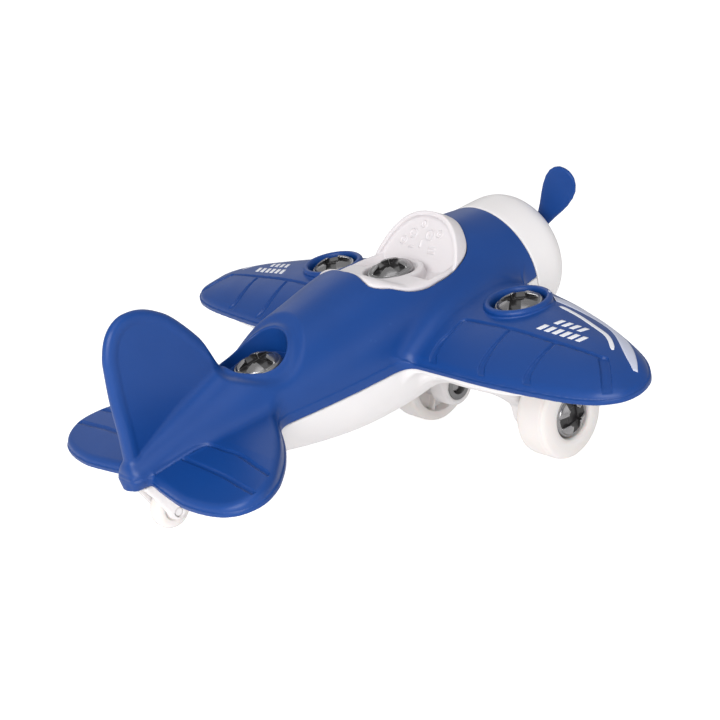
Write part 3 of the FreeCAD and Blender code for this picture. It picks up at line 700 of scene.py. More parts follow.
def dome(points, inset):
    half_x, half_y, half_z = [half - inset for half in DOME_HALF_SIZE]
    half_y = half_y - DOME_SIDE_INSET
    x, y, z = points.T
    qx = np.abs(x - DOME_CENTRE_X) / half_x
    qy = np.abs(y) / half_y
    qz = np.abs(z - DOME_CENTRE_Z) / half_z
    powers = np.maximum(qy ** DOME_POWER + qz ** DOME_POWER, 1e-6)
    across = powers ** (1 / DOME_POWER)
    level = np.maximum(np.sqrt(qx * qx + across * across), 1e-3)
    slope_y = powers ** (1 / DOME_POWER - 1) * qy ** 1.4
    slope_z = powers ** (1 / DOME_POWER - 1) * qz ** 1.4
    slope = np.sqrt((qx / half_x) ** 2 + (across * slope_y / half_y) ** 2
                    + (across * slope_z / half_z) ** 2) / level
    return (level - 1.0) / np.maximum(slope, 1e-4)


def instrument_marks(x, y, z):
    """Height of the panel marks, from 0 to 1."""
    up_panel = (x - SCREEN_X) * 0.677 + (z - SCREEN_Z) * 0.736
    mark = np.zeros_like(x)
    for dial_y, dial_up, radius in DIALS:
        dist = np.hypot(y - dial_y, up_panel - dial_up)
        mark = np.maximum(mark, smoothstep(0.55, 0.1, np.abs(dist - radius)))
        mark = np.maximum(mark, 0.7 * smoothstep(0.8, 0.4, dist))
    for bar_y, bar_up, half_width, half_length in BARS:
        dist = np.maximum(np.abs(y - bar_y) - half_width, np.abs(up_panel - bar_up) - half_length)
        mark = np.maximum(mark, smoothstep(0.35, -0.15, dist))
    return mark


def deck_block(points, rim):
    """Body of the insert up to the deck, which rises at the rear."""
    x, y, z = points.T
    back = np.clip((-29.0 - x) / 15.0, 0, 1.2)
    deck_z = (15.3 - 0.16 * (x - COCKPIT_BOLT_X) + 9.3 * back ** 1.35
              - 0.04 * np.maximum(np.abs(y) - 13.0, 0))
    deck = (z - deck_z) / (1.0 + 0.45 * back)
    skin = fuselage(points) - 0.45
    block = smooth_max(smooth_max(rim, skin, 1.4), deck, 2.6)
    return smooth_max(block, 4.0 - z, 1.0)


def cockpit_insert(points):
    x, y, z = points.T
    rim = opening(x, y, z) + 0.3
    bolt_r = bolt_distances(x, y)[1]
    screen = screen_plane(x, z)
    panel = screen + 2.5 - 0.55 * instrument_marks(x, y, z)
    # solid front part of the dome, with the shallow panel let into it
    front = smooth_max(smooth_max(dome(points, 0.0), screen, 0.9), rim, 0.7)
    front = smooth_max(front, 4.0 - z, 1.0)
    front = carve(front, smooth_max(dome(points, 2.7), -panel, 2.0), 1.2)
    # tub in front of and beside the bolt cup
    tub = smooth_max(smooth_max(rim + 3.0, -(x + 18.0), 2.0), -(bolt_r - 17.0), 1.5)
    tub = smooth_max(tub, 7.8 - z, 1.6)
    tub = np.maximum(tub, -panel)
    shape = smooth_min(carve(deck_block(points, rim), tub, 1.2), front, 0.8)
    # open underneath, ahead of the panel
    shape = carve(shape, np.maximum(np.maximum(dome(points, 2.6), screen + 5.6), rim + 2.8))
    shape = carve(shape, above(bolt_r - 13.2, COCKPIT_SEAT_Z, z), 1.3)
    return carve(shape, bolt_r - BORE_R)


# ---------------------------------------------------------------- pieces with their own axis z
# Closed half sections: radius, height
WHEEL_SECTION = [
    (5.7, 0.6), (8.2, 0.6), (8.6, 6.6), (17.5, 6.6), (18.2, 0.8), (20.4, 0.5), (21.9, 0.9),
    (22.8, 1.9), (23.2, 3.4), (23.25, 9.8), (23.2, 15.8), (22.7, 17.5), (21.6, 18.6),
    (20.2, 19.2), (18.0, 19.8), (16.4, 20.0), (14.6, 19.9), (13.4, 19.4), (12.9, 18.4),
    (12.8, 17.0), (12.8, 12.8), (5.7, 12.8)]
TAIL_WHEEL_SECTION = [
    (2.75, 0.5), (6.6, 0.5), (8.0, 1.0), (8.75, 2.4), (8.8, 4.5), (8.75, 6.6), (8.0, 8.0),
    (6.6, 8.5), (5.2, 8.5), (4.7, 7.9), (2.75, 7.9)]
COWL_OUTER_CURVE = [
    (34.15, -6), (34.3, 6), (34.3, 13), (34.0, 16.5), (33.1, 19.6), (31.5, 22.4), (29.1, 24.7),
    (26.2, 26.6), (22.6, 28.0), (18.6, 28.8), (14.6, 29.1)]
COWL_FACE_AND_INSIDE = [
    (12.6, 28.9), (11.6, 27.9), (11.0, 27.3), (9.6, 27.2), (4.7, 27.2),
    (4.7, 16.9), (6.7, 16.9), (6.7, 24.6), (14, 25.6), (18, 26.2), (22, 25.4), (25.4, 23.8),
    (28, 21.8), (30, 19.2), (31.4, 16), (31.9, 12.6), (31.9, -6)]
# Propeller blade: distance from the axis, half width or half thickness
BLADE_HALF_WIDTH = [
    (0, 3.6), (5.4, 3.6), (14, 3.8), (20, 4.5), (27, 6.3), (32.5, 8.0), (38, 9.3), (43.7, 9.9),
    (48.5, 9.4), (52, 7.8), (54.4, 5.6), (55.7, 2.9), (56, 0.4), (60, -6)]
BLADE_HALF_THICK = [(0, 2.2), (10, 1.9), (30, 1.6), (56, 1.15)]
BLADE_LENGTH = 56
BLADE_MID_Z = 4.2


def turned(section, softening):
    """Field of radius and height for a closed section with softened corners."""
    field = PlaneField([np.array(section, float)], True, 0.25, 6.0)
    return lambda radius, z: field(radius, z) - softening


wheel_body = turned(WHEEL_SECTION, 0.4)
tail_wheel_body = turned(TAIL_WHEEL_SECTION, 0.35)
cowl_body = turned(
    catmull_rom(COWL_OUTER_CURVE, 4, False).tolist() + COWL_FACE_AND_INSIDE, 0.35)


def cross_slot(x, y, half_width, reach):
    ax, ay, radius = np.abs(x), np.abs(y), np.hypot(x, y)
    return np.minimum(np.maximum(ax - half_width, radius - reach),
                      np.maximum(ay - half_width, radius - reach))


def large_bolt(shank):
    """Field of a domed bolt whose head sits on z = 0."""
    def field(points):
        x, y, z = points.T
        radius = np.hypot(x, y)
        crown = np.sqrt(radius * radius + (z + BOLT_DOME_DROP) ** 2) - BOLT_DOME_R
        head = smooth_max(smooth_max(crown, radius - 12.15, 1.2), -z, 0.8)
        # cross slot with a slightly dished floor, and a square socket in the middle
        slot = cross_slot(x, y, half_width=2.7, reach=13.5)
        head = carve(head, np.maximum(slot, 3.95 - 0.02 * radius - z), 0.7)
        socket = np.maximum(np.abs(x), np.abs(y)) - 3.9
        head = carve(head, above(socket, 2.9, z), 0.6)
        # fine turned line just inside the rim
        head = head + 0.32 * np.exp(-((radius - 10.5) / 0.5) ** 2) * smoothstep(1.5, 2.5, z)
        # coarse thread of shallow rounded turns, fading out at both ends
        phase = z / 2.6 - np.arctan2(y, x) / (2 * np.pi)
        valley = np.abs(phase - np.round(phase)) * 2
        rod = radius - (4.35 + 0.5 * smoothstep(0.15, 0.85, 1 - valley)
                        * smoothstep(-shank + 0.8, -shank + 3.0, z) * smoothstep(-1.2, -3.0, z))
        rod = smooth_max(smooth_max(rod * 0.9, -(z + shank - 0.05), 1.2), z - 1.5, 0.5)
        return smooth_min(head, rod, 1.0)
    return field


def wheel(points):
    x, y, z = points.T
    radius = np.hypot(x, y)
    shape = wheel_body(radius, z)
    # six ribs tie the hub to the rim inside the hollow
    rib_pitch = 2 * np.pi / 6
    angle = np.arctan2(y, x)
    angle = angle - rib_pitch * np.round(angle / rib_pitch)
    rib = np.maximum(np.abs(radius * np.sin(angle)) - 0.9, np.abs(radius - 13.2) - 5.4)
    shape = smooth_min(shape, np.maximum(rib, np.abs(z - 5.2) - 3.0), 1.0)
    # fine turned line near each edge of the tread
    for line_z in (3.1, 16.5):
        line = 0.18 * np.exp(-((z - line_z) / 0.35) ** 2)
        shape = shape + line * smoothstep(20, 22, radius)
    return shape


def tail_wheel(points):
    x, y, z = points.T
    return tail_wheel_body(np.hypot(x, y), z)


def nose_cowl(points):
    x, y, z = points.T
    # local x points down: the joint with the shells is square to the fuselage
    joint = (0.0872 * x - 0.9962 * z) + 0.05
    return smooth_max(cowl_body(np.hypot(x, y), z), joint, 0.6)


def propeller(points):
    """Hub and two twisted blades along local y."""
    x, y, z = points.T
    radius = np.hypot(x, y)
    hub = carve(smooth_max(radius - 8.0, np.abs(z - 4.5) - 4.5, 2.4), radius - 4.35, 0.4)
    along = np.abs(y)
    twist = (0.13 - 0.20 * smoothstep(8, BLADE_LENGTH, along)) * np.where(y >= 0, 1.0, -1.0)
    rise = z - BLADE_MID_Z
    blade_x = x * np.cos(twist) + rise * np.sin(twist)
    blade_z = -x * np.sin(twist) + rise * np.cos(twist)
    half_width = by_table(BLADE_HALF_WIDTH, along)
    flat = 1 - 0.75 * (blade_x / np.maximum(half_width, 0.3)) ** 2
    crown = by_table(BLADE_HALF_THICK, along) * np.sqrt(np.clip(flat, 0.05, 1))
    blade = smooth_max((np.abs(blade_x) - half_width) * 0.8, np.abs(blade_z) - crown, 1.3)
    blade = smooth_max(blade, along - BLADE_LENGTH, 1.5)
    blade = smooth_max(blade, 5.8 - radius, 0.5)
    return smooth_min(hub, blade, 2.6)


def propeller_bolt(points):
    x, y, z = points.T
    radius = np.hypot(x, y)
    crown = np.sqrt(radius * radius + (z + 4.1) ** 2) - 9.1
    head = smooth_max(smooth_max(crown, radius - 7.2, 1.0), 0.0 - z, 0.6)
    head = carve(head, above(cross_slot(x, y, half_width=1.35, reach=5.2), 2.6, z), 0.5)
    rod = smooth_max(smooth_max(radius - 3.85, -(z + 21.95), 0.8), z - 1.0, 0.4)
    return smooth_min(head, rod, 0.5)


# ---------------------------------------------------------------- placing and mesh objects
pitch_cos, pitch_sin = math.cos(PITCH), math.sin(PITCH)
PITCH_TURN = np.array([[pitch_cos, 0, -pitch_sin], [0, 1, 0], [pitch_sin, 0, pitch_cos]])
NO_TURN = np.eye(3)


def to_world(points):
    """Plane frame (mm) to world (m)."""
    x, y, z = np.asarray(points, float).T
    return np.stack([x * pitch_cos - z * pitch_sin + ORIGIN_X, y,
                     x * pitch_sin + z * pitch_cos + ORIGIN_Z], -1) / 1000.0


def turn_about(axis, degrees):
    angle = math.radians(degrees)
    c, s = math.cos(angle), math.sin(angle)
    return {"x": np.array([[1, 0, 0], [0, c, -s], [0, s, c]]),
            "y": np.array([[c, 0, s], [0, 1, 0], [-s, 0, c]]),
            "z": np.array([[c, -s, 0], [s, c, 0], [0, 0, 1]])}[axis]


def on_thrust_line(distance, spin=0.0):
    """Place and turn of a piece on the propeller's axis, which dips 5 degrees forward."""
    turn = turn_about("y", 95.0)
    return (np.array([48.7, 0, -15.2]) + turn @ np.array([0, 0, distance]),
            turn @ turn_about("z", spin))


def add_mesh(name, vertices, faces, material, normals=None):
    mesh = bpy.data.meshes.new(name)
    vertices = np.asarray(vertices, np.float32)
    faces = np.asarray(faces, np.int32)
    count, corners = faces.shape
    mesh.vertices.add(len(vertices))
    mesh.vertices.foreach_set("co", vertices.ravel())
    mesh.loops.add(count * corners)
    mesh.loops.foreach_set("vertex_index", faces.ravel())
    mesh.polygons.add(count)
    starts = np.arange(0, count * corners, corners, dtype=np.int32)
    mesh.polygons.foreach_set("loop_start", starts)
    mesh.update(calc_edges=True)
    mesh.validate()
    mesh.polygons.foreach_set("use_smooth", np.ones(len(mesh.polygons), bool))
    if normals is not None:
        mesh.normals_split_custom_set_from_vertices(np.asarray(normals, np.float32).tolist())
    ob = bpy.data.objects.new(name, mesh)
    bpy.context.scene.collection.objects.link(ob)
    mesh.materials.append(material)
    return ob


def paint_slot_shade(mesh, vertices, faces):
    """Walls and floor of a large bolt's cross slot get a near-black material: painted shade in the
    recess.
    """
    # painted shade: faces inside the cross slot take the near-black material
    mesh.materials.append(BOLT_SLOT_SHADE)
    centre = vertices[faces].mean(1)
    radius = np.hypot(centre[:, 0], centre[:, 1])
    crown = np.sqrt(np.maximum(BOLT_DOME_R ** 2 - radius * radius, 0)) - BOLT_DOME_DROP
    ax, ay = np.abs(centre[:, 0]), np.abs(centre[:, 1])
    in_cross = (np.minimum(ax, ay) < 3.0) | (np.maximum(ax, ay) < 4.2)
    slot_shade_mask = in_cross & (radius < 12.6) & (centre[:, 2] > 0.5) & (centre[:, 2] < crown - 0.7)
    # validation may have removed faces, and then the mask no longer fits
    if len(mesh.polygons) == len(slot_shade_mask):
        mesh.polygons.foreach_set("material_index", slot_shade_mask.astype(np.int32))


def add_piece(part, skin, body, slot, material, place=(0.0, 0.0, 0.0), turn=NO_TURN,
              shade_in_slot=False):
    """Object that replaces a CAD part and rides on a body."""
    vertices, faces, normals = skin
    ob = add_mesh(part + "_skin", to_world(vertices @ turn.T + np.asarray(place, float)), faces,
                  material, (normals @ turn.T) @ PITCH_TURN.T)
    # painted shade: the bolt's cross slot is given the near-black material
    if shade_in_slot:
        paint_slot_shade(ob.data, vertices, faces)
    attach(ob, body)
    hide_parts(part)


# ---------------------------------------------------------------- materials
def new_material(name):
    material = bpy.data.materials.new(name)
    material.use_nodes = True
    tree = material.node_tree
    tree.nodes.clear()
    output = tree.nodes.new("ShaderNodeOutputMaterial")
    shader = tree.nodes.new("ShaderNodeBsdfPrincipled")
    tree.links.new(shader.outputs[0], output.inputs[0])
    return material, tree, shader


def noise(tree, scale, detail=2.0, coordinates=None):
    node = tree.nodes.new("ShaderNodeTexNoise")
    node.inputs["Scale"].default_value = scale
    node.inputs["Detail"].default_value = detail
    if coordinates:
        tree.links.new(coordinates, node.inputs["Vector"])
    return node.outputs["Fac"]


def map_range(tree, source, from_min=0.0, from_max=1.0, to_min=0.0, to_max=1.0):
    node = tree.nodes.new("ShaderNodeMapRange")
    for i, value in enumerate((from_min, from_max, to_min, to_max), 1):
        node.inputs[i].default_value = value
    tree.links.new(source, node.inputs[0])
    return node.outputs[0]


def colour_mix(tree):
    node = tree.nodes.new("ShaderNodeMix")
    node.data_type = "RGBA"
    return node, node.inputs[6], node.inputs[7]


def bump(tree, height, strength, distance):
    node = tree.nodes.new("ShaderNodeBump")
    node.inputs["Strength"].default_value = strength
    node.inputs["Distance"].default_value = distance
    tree.links.new(height, node.inputs["Height"])
    return node


def plastic(name, base, mottle, worn, roughness, grain_scale=2600.0, grain_strength=0.2,
            subsurface=0.0, subsurface_radius=(1, .8, .7), metallic=0.0, specular=0.5):
    """Moulded plastic: mottled colour, rubbed edges, fine grain over a slow ripple."""
    material, tree, shader = new_material(name)
    link = tree.links.new
    coordinates = tree.nodes.new("ShaderNodeTexCoord").outputs["Object"]
    patches = noise(tree, scale=22, detail=3, coordinates=coordinates)
    mottled, colour_a, colour_b = colour_mix(tree)
    colour_a.default_value = (*base, 1)
    colour_b.default_value = (*mottle, 1)
    link(map_range(tree, patches, from_min=0.35, from_max=0.7), mottled.inputs[0])
    # light rubbing on the sharpest edges
    geometry = tree.nodes.new("ShaderNodeNewGeometry")
    edge = map_range(tree, geometry.outputs["Pointiness"], from_min=0.54, from_max=0.66,
                     to_max=0.35)
    spots = noise(tree, scale=160, detail=4, coordinates=coordinates)
    wear = tree.nodes.new("ShaderNodeMath")
    wear.operation = "MULTIPLY"
    link(edge, wear.inputs[0])
    link(spots, wear.inputs[1])
    rubbed, colour_a, colour_b = colour_mix(tree)
    link(wear.outputs[0], rubbed.inputs[0])
    link(mottled.outputs[2], colour_a)
    colour_b.default_value = (*worn, 1)
    link(rubbed.outputs[2], shader.inputs["Base Color"])
    # surface relief, distances in metres
    fine = noise(tree, scale=grain_scale, detail=2, coordinates=coordinates)
    slow = noise(tree, scale=55, detail=1, coordinates=coordinates)
    grain = bump(tree, fine, strength=grain_strength, distance=0.00006)
    ripple = bump(tree, slow, strength=0.12, distance=0.0006)
    link(grain.outputs[0], ripple.inputs["Normal"])
    link(ripple.outputs[0], shader.inputs["Normal"])
    gloss = tree.nodes.new("ShaderNodeMapRange")
    gloss.inputs[3].default_value = roughness - 0.06
    gloss.inputs[4].default_value = roughness + 0.07
    link(noise(tree, scale=90, detail=5, coordinates=coordinates), gloss.inputs[0])
    link(gloss.outputs[0], shader.inputs["Roughness"])
    shader.inputs["Metallic"].default_value = metallic
    shader.inputs["Specular IOR Level"].default_value = specular
    if subsurface:
        shader.inputs["Subsurface Weight"].default_value = subsurface
        shader.inputs["Subsurface Radius"].default_value = subsurface_radius
        shader.inputs["Subsurface Scale"].default_value = 0.004
    return material


BLUE = plastic("blue_moulded", base=(0.0045, 0.050, 0.236), mottle=(0.0038, 0.045, 0.216),
               worn=(0.03, 0.11, 0.36), roughness=0.38, specular=0.34)
BLADE_BLUE = plastic("blue_moulded_blade", base=(0.0044, 0.050, 0.236),
                     mottle=(0.0036, 0.044, 0.212), worn=(0.03, 0.11, 0.36),
                     roughness=0.40, specular=0.30)
WHITE = plastic("white_moulded", base=(0.79, 0.765, 0.765), mottle=(0.76, 0.735, 0.735),
                worn=(0.9, 0.89, 0.88), roughness=0.36, subsurface=0.12, specular=0.4)
COCKPIT_WHITE = plastic("white_cockpit", base=(0.71, 0.675, 0.69), mottle=(0.685, 0.65, 0.665),
                        worn=(0.92, 0.9, 0.9), roughness=0.40, subsurface=0.10, specular=0.35)
WHEEL_WHITE = plastic("white_wheel_plastic", base=(0.79, 0.755, 0.74),
                      mottle=(0.76, 0.725, 0.705), worn=(0.9, 0.88, 0.86), roughness=0.40,
                      subsurface=0.30, subsurface_radius=(1.0, 0.62, 0.42), specular=0.4)
BOLT_GREY = plastic("grey_bolt_plastic", base=(0.25, 0.245, 0.25), mottle=(0.33, 0.325, 0.33),
                    worn=(0.6, 0.6, 0.6), roughness=0.22, grain_scale=1500.0,
                    grain_strength=0.4, metallic=0.85, specular=0.6)
# painted shade: a near-black material for the walls and floor of the bolts' cross slots, standing
# in for the shade inside the recess
BOLT_SLOT_SHADE = plastic("grey_bolt_slot_painted_shade", base=(0.022, 0.021, 0.022), mottle=(0.05, 0.048, 0.05),
                    worn=(0.2, 0.2, 0.2), roughness=0.30, grain_scale=1500.0,
                    grain_strength=0.4, metallic=0.5)
NUT_GREY = plastic("grey_nut_plastic", base=(0.16, 0.16, 0.165), mottle=(0.20, 0.20, 0.20),
                   worn=(0.45, 0.45, 0.45), roughness=0.34, metallic=0.6)
# no piece wears this one
plastic("steel_pin_metal", base=(0.50, 0.50, 0.51), mottle=(0.42, 0.42, 0.43),
        worn=(0.7, 0.7, 0.7), roughness=0.25, metallic=1.0)
WHITE_INK = plastic("white_print_ink", base=(0.80, 0.80, 0.84), mottle=(0.74, 0.75, 0.80),
                    worn=(0.7, 0.72, 0.78), roughness=0.45, grain_scale=4000.0,
                    grain_strength=0.12)
PALE_INK = plastic("pale_print_ink", base=(0.56, 0.58, 0.70), mottle=(0.50, 0.53, 0.66),
                   worn=(0.55, 0.58, 0.7), roughness=0.45, grain_scale=4000.0,
                   grain_strength=0.12)

# ---------------------------------------------------------------- mouldings, nose, propeller
# solve(field, box low, box high, cell size, normal step)
add_piece("upper_shell",
          solve(upper_shell, (-196, -158, -19), (52, 158, 70), 0.65, 0.22),
          "airframe", "blue_shell", BLUE)
add_piece("lower_shell",
          solve(lower_shell, (-196, -158, -102), (52, 158, 9), 0.9, 0.3),
          "airframe", "white_shell", WHITE)
add_piece("cockpit_insert",
          solve(cockpit_insert, (-49, -33, 2), (32, 33, 41), 0.5, 0.2),
          "airframe", "white_insert", COCKPIT_WHITE)
add_piece("nose_cowl",
          solve(nose_cowl, (-37, -37, -6), (37, 37, 31), 0.8, 0.3),
          "airframe", "white_shell", WHITE, *on_thrust_line(0))
add_piece("propeller",
          solve(propeller, (-13, -58, -2), (13, 58, 11), 0.55, 0.2),
          "propeller", "blue_shell", BLADE_BLUE, *on_thrust_line(30.0, spin=90 + 37.0))
add_piece("propeller_bolt", solve(propeller_bolt, (-9, -9, -24), (9, 9, 7), 0.5, 0.12),
          "propeller", "grey_bolt", BOLT_GREY, *on_thrust_line(39.3))


# ---------------------------------------------------------------- large bolts and wheels
@lru_cache(maxsize=None)
def large_bolt_skin(shank):
    return solve(large_bolt(shank), (-14, -14, -shank - 2), (14, 14, 9),
                 0.42, 0.12)


SIDES = ((1, "left"), (-1, "right"))
WHEEL_BOLT_Y = 53.4 + SEAT_GAP
WING_BOLT_Z = WING_SEAT_Z + SEAT_GAP
# part, body it rides on, shank length, place, turn
LARGE_BOLTS = [
    ("wing_bolt_left", "wing_bolt_left", 12.6, (0, WING_BOLT_Y, WING_BOLT_Z),
     turn_about("z", 42)),
    ("wing_bolt_right", "wing_bolt_right", 12.6, (0, -WING_BOLT_Y, WING_BOLT_Z),
     turn_about("z", 30)),
    ("cockpit_bolt", "cockpit_bolt", 24.0, (COCKPIT_BOLT_X, 0, COCKPIT_SEAT_Z + SEAT_GAP),
     NO_TURN),
    ("tail_bolt", "tail_bolt", 20.0, (TAIL_BOLT_X, 0, TAIL_SEAT_Z + SEAT_GAP), NO_TURN),
] + [("wheel_bolt_" + label, "airframe", 27.0, (AXLE_X, side * WHEEL_BOLT_Y, AXLE_Z),
      turn_about("x", -90 * side)) for side, label in SIDES]
# each large bolt's cross slot gets painted shade, a near-black material
for part, body, shank, place, turn in LARGE_BOLTS:
    add_piece(part, large_bolt_skin(shank), body, "grey_bolt", BOLT_GREY, place, turn,
              shade_in_slot=True)

wheel_skin = solve(wheel, (-25, -25, -1), (25, 25, 21), 0.62, 0.2)
for side, label in SIDES:
    add_piece("wheel_" + label, wheel_skin, "wheel_" + label, "white_wheel", WHEEL_WHITE,
              (AXLE_X, side * 38.4, AXLE_Z), turn_about("x", -90 * side))
add_piece("tail_wheel", solve(tail_wheel, (-11, -11, -1), (11, 11, 10), 0.45, 0.12),
          "tail_wheel", "white_wheel", WHEEL_WHITE, (TAIL_WHEEL_X, 4.5, TAIL_WHEEL_Z),
          turn_about("x", 90))

# ---------------------------------------------------------------- prints on the wings
# Plan lines on the left wing: x, y
INNER_STRIPE = [(6.5, 86.9), (5.0, 94.0), (2.9, 101.7), (0.2, 109.1), (-2.4, 116.0),
                (-4.6, 121.4), (-7.4, 125.8), (-11.0, 129.8), (-14.4, 133.0)]
OUTER_STRIPE_REAR = [
    (11.2, 76.9), (9.9, 89.8), (7.7, 103.0), (4.5, 113.2), (1.3, 119.8), (-2.6, 125.4),
    (-8.5, 132.4), (-14.2, 139.1), (-18.0, 144.3), (-20.6, 147.8)]
OUTER_STRIPE_FRONT = [
    (18.0, 70.6), (18.6, 82.0), (15.9, 94.0), (12.2, 105.0), (8.2, 114.0), (4.2, 121.8),
    (-0.6, 130.0), (-7.2, 138.2), (-14.0, 145.0), (-19.9, 149.6)]
# Rows of slanted bars: middle x, bar y places, length, width
BAR_ROWS = [(-7.6, (98.5, 102.9, 107.3, 111.7), 4.4, 2.5),
            (-14.6, (94.4, 98.8, 103.2, 107.6, 112.0, 116.4), 4.8, 2.7)]
BAR_SLANT = 1.5
PRINT_COLUMNS = 7
INNER_STRIPE_ROWS = 46
OUTER_STRIPE_ROWS = 60


def wing_surface_z(x, y):
    """Height of the upper shell under plan points, found by stepping down."""
    points = np.stack([x, y, np.full(len(x), 7.0)], -1).astype(np.float32)
    for _ in range(60):
        points[:, 2] -= 0.8 * np.clip(upper_shell(points), -0.5, 4.0)
    return points[:, 2].astype(float)


def print_faces(rows, columns):
    """Quads of a closed slab: top grid first, then the bottom grid."""
    under = rows * columns
    faces = []

    def at(i, j):
        return i * columns + j

    for i in range(rows - 1):
        for j in range(columns - 1):
            a, b, c, d = at(i, j), at(i + 1, j), at(i + 1, j + 1), at(i, j + 1)
            faces.append([a, b, c, d])
            faces.append([under + a, under + d, under + c, under + b])
    last = columns - 1
    for i in range(rows - 1):
        a, b = at(i, 0), at(i + 1, 0)
        faces.append([a, under + a, under + b, b])
        a, b = at(i, last), at(i + 1, last)
        faces.append([a, b, under + b, under + a])
    for j in range(columns - 1):
        a, b = at(0, j), at(0, j + 1)
        faces.append([a, b, under + b, under + a])
        a, b = at(rows - 1, j), at(rows - 1, j + 1)
        faces.append([a, under + a, under + b, b])
    return np.array(faces)


def add_print(name, line_a, line_b, side, ink=WHITE_INK):
    """Thin closed print between two plan lines of equal length."""
    t = np.linspace(0, 1, PRINT_COLUMNS)[None, :, None]
    plan = (line_a[:, None, :] * (1 - t) + line_b[:, None, :] * t).reshape(-1, 2)
    plan[:, 1] *= side
    z = wing_surface_z(plan[:, 0], plan[:, 1])
    # the print thins at its rim and reaches a little into the wing
    rows = len(line_a)
    rise = np.ones((rows, PRINT_COLUMNS))
    rise[0] = rise[-1] = 0.35
    rise[:, 0] = rise[:, -1] = 0.35
    vertices = np.vstack([np.c_[plan, z + 0.02 + 0.12 * rise.ravel()], np.c_[plan, z - 0.25]])
    faces = print_faces(rows, PRINT_COLUMNS)
    # outward faces: the first top face must look up
    a, b, c = vertices[faces[0][:3]]
    if np.cross(b - a, c - a)[2] < 0:
        faces = faces[:, ::-1]
    ob = add_mesh(name, to_world(vertices), faces, ink)
    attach(ob, "airframe")


def resample(points, count):
    curve = catmull_rom(points, 16, False)
    length = np.r_[0, np.cumsum(np.linalg.norm(np.diff(curve, axis=0), axis=1))]
    at = np.linspace(0, length[-1], count)
    return np.c_[np.interp(at, length, curve[:, 0]), np.interp(at, length, curve[:, 1])]


def both_sides(points, widths):
    """The two borders of a line with the given widths."""
    line = resample(points, len(widths))
    along = np.gradient(line, axis=0)
    along /= np.linalg.norm(along, axis=1, keepdims=True)
    normal = np.c_[-along[:, 1], along[:, 0]]
    widths = widths.reshape(-1, 1)
    return line + normal * widths / 2, line - normal * widths / 2


inner_widths = np.interp(np.linspace(0, 1, INNER_STRIPE_ROWS), [0, 0.05, 0.95, 1],
                         [1.2, 2.3, 2.0, 1.0])
for side, label in SIDES:
    add_print("wing_stripe_inner_" + label, *both_sides(INNER_STRIPE, inner_widths), side)
    add_print("wing_stripe_outer_" + label, resample(OUTER_STRIPE_REAR, OUTER_STRIPE_ROWS),
              resample(OUTER_STRIPE_FRONT, OUTER_STRIPE_ROWS), side, PALE_INK)
    number = 0
    for middle_x, places, length, width in BAR_ROWS:
        for y in places:
            number += 1
            t = np.linspace(0, 1, 8)
            x = middle_x - length / 2 + length * t
            shift = BAR_SLANT * (t - 0.5)
            add_print("wing_bar_%s_%d" % (label, number), np.c_[x, y + shift - width / 2],
                      np.c_[x, y + shift + width / 2], side)

# ---------------------------------------------------------------- CAD parts kept as they are
KEPT_PARTS = {name: NUT_GREY for name in (
    "wing_nut_left", "wing_nut_right", "cockpit_nut", "tail_nut", "wheel_nut_left",
    "wheel_nut_right", "propeller_nut")}
KEPT_PARTS["tail_wheel_pin"] = WHITE
for name, material in KEPT_PARTS.items():
    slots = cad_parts[name].data.materials
    slots.clear()
    slots.append(material)


# ---------------------------------------------------------------- floor, light, camera (m)
def floor_material():
    """White floor that glows more to the camera than to the plane."""
    material, tree, shader = new_material("floor_white")
    shade = map_range(tree, noise(tree, scale=3), to_min=0.90, to_max=0.92)
    colour = tree.nodes.new("ShaderNodeCombineColor")
    for channel_input in list(colour.inputs)[:3]:
        tree.links.new(shade, channel_input)
    tree.links.new(colour.outputs[0], shader.inputs["Base Color"])
    shader.inputs["Roughness"].default_value = 0.9
    shader.inputs["Specular IOR Level"].default_value = 0.0
    shader.inputs["Emission Color"].default_value = (1, 1, 1, 1)
    camera_ray = tree.nodes.new("ShaderNodeLightPath").outputs["Is Camera Ray"]
    glow = map_range(tree, camera_ray, to_min=0.26, to_max=0.60)
    tree.links.new(glow, shader.inputs["Emission Strength"])
    return material


def add_floor(half=6):
    mesh = bpy.data.meshes.new("studio_floor")
    mesh.from_pydata([(-half, -half, 0), (half, -half, 0), (half, half, 0), (-half, half, 0)],
                     [], [(0, 1, 2, 3)])
    floor = bpy.data.objects.new("studio_floor", mesh)
    bpy.context.scene.collection.objects.link(floor)
    mesh.materials.append(floor_material())


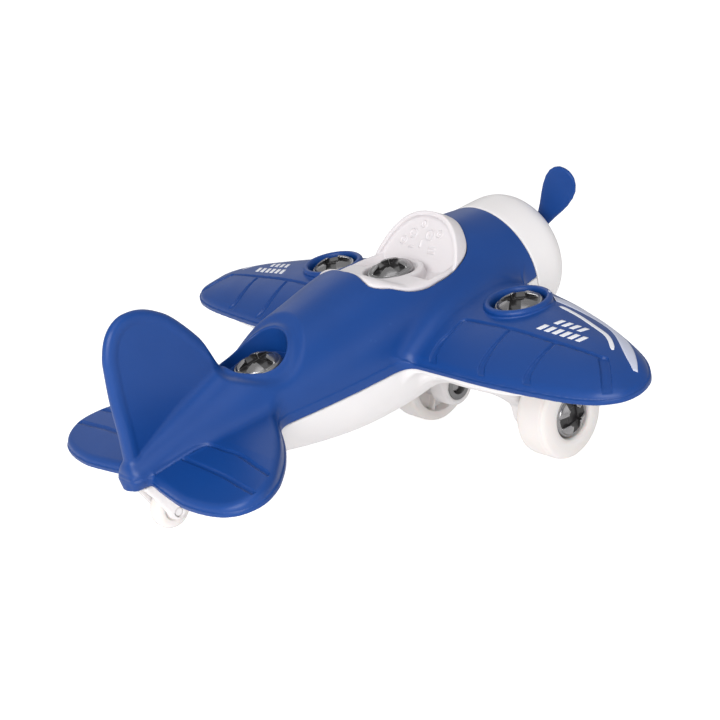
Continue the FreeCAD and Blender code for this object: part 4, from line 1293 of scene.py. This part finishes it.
def set_world():
    """White world, brighter to the camera than as a light."""
    scene = bpy.context.scene
    world = bpy.data.worlds.new("studio") if scene.world is None else scene.world
    scene.world = world
    world.use_nodes = True
    tree = world.node_tree
    # a world that came with the frame may lack the usual node
    background = tree.nodes.get("Background") or tree.nodes.new("ShaderNodeBackground")
    background.inputs[0].default_value = (1, 1, 1, 1)
    camera_ray = tree.nodes.new("ShaderNodeLightPath").outputs["Is Camera Ray"]
    strength = map_range(tree, camera_ray, to_min=0.50, to_max=1.15)
    tree.links.new(strength, background.inputs[1])


def add_area_light(name, place, target, size, power):
    light = bpy.data.lights.new(name, "AREA")
    light.shape = "RECTANGLE"
    light.size, light.size_y = size
    light.energy = power
    ob = bpy.data.objects.new(name, light)
    ob.location = place
    aim = Vector(target) - Vector(place)
    ob.rotation_euler = aim.to_track_quat("-Z", "Y").to_euler()
    bpy.context.scene.collection.objects.link(ob)


def add_camera(place, right, up, forward):
    camera = bpy.data.cameras.new("camera")
    camera.lens, camera.sensor_width, camera.sensor_fit = 69.313, 36.0, "HORIZONTAL"
    camera.clip_start, camera.clip_end = 0.02, 60
    ob = bpy.data.objects.new("camera", camera)
    rows = [(right[k], up[k], -forward[k], place[k]) for k in range(3)]
    ob.matrix_world = Matrix((*rows, (0, 0, 0, 1)))
    bpy.context.scene.collection.objects.link(ob)
    bpy.context.scene.camera = ob


add_floor()
set_world()
add_area_light("key", place=(-1.15, -0.62, 0.42), target=(0, 0, 0.06), size=(0.95, 0.75),
               power=14.0)
add_area_light("top", place=(-0.55, -0.35, 1.25), target=(0, 0, 0.05), size=(1.0, 1.0), power=2.8)
add_area_light("side", place=(0.35, -1.3, 0.35), target=(0, 0, 0.06), size=(1.0, 0.5), power=1.6)
add_area_light("back", place=(0.5, 1.1, 0.9), target=(0, 0, 0.05), size=(1.2, 0.6), power=1.4)
add_camera(place=(-0.438839, -0.496972, 0.223036), right=(0.746571, -0.665306, 0.000236),
           up=(0.159247, 0.179043, 0.970868), forward=(0.645966, 0.724784, -0.239617))
bpy.context.scene.view_settings.view_transform = "Standard"
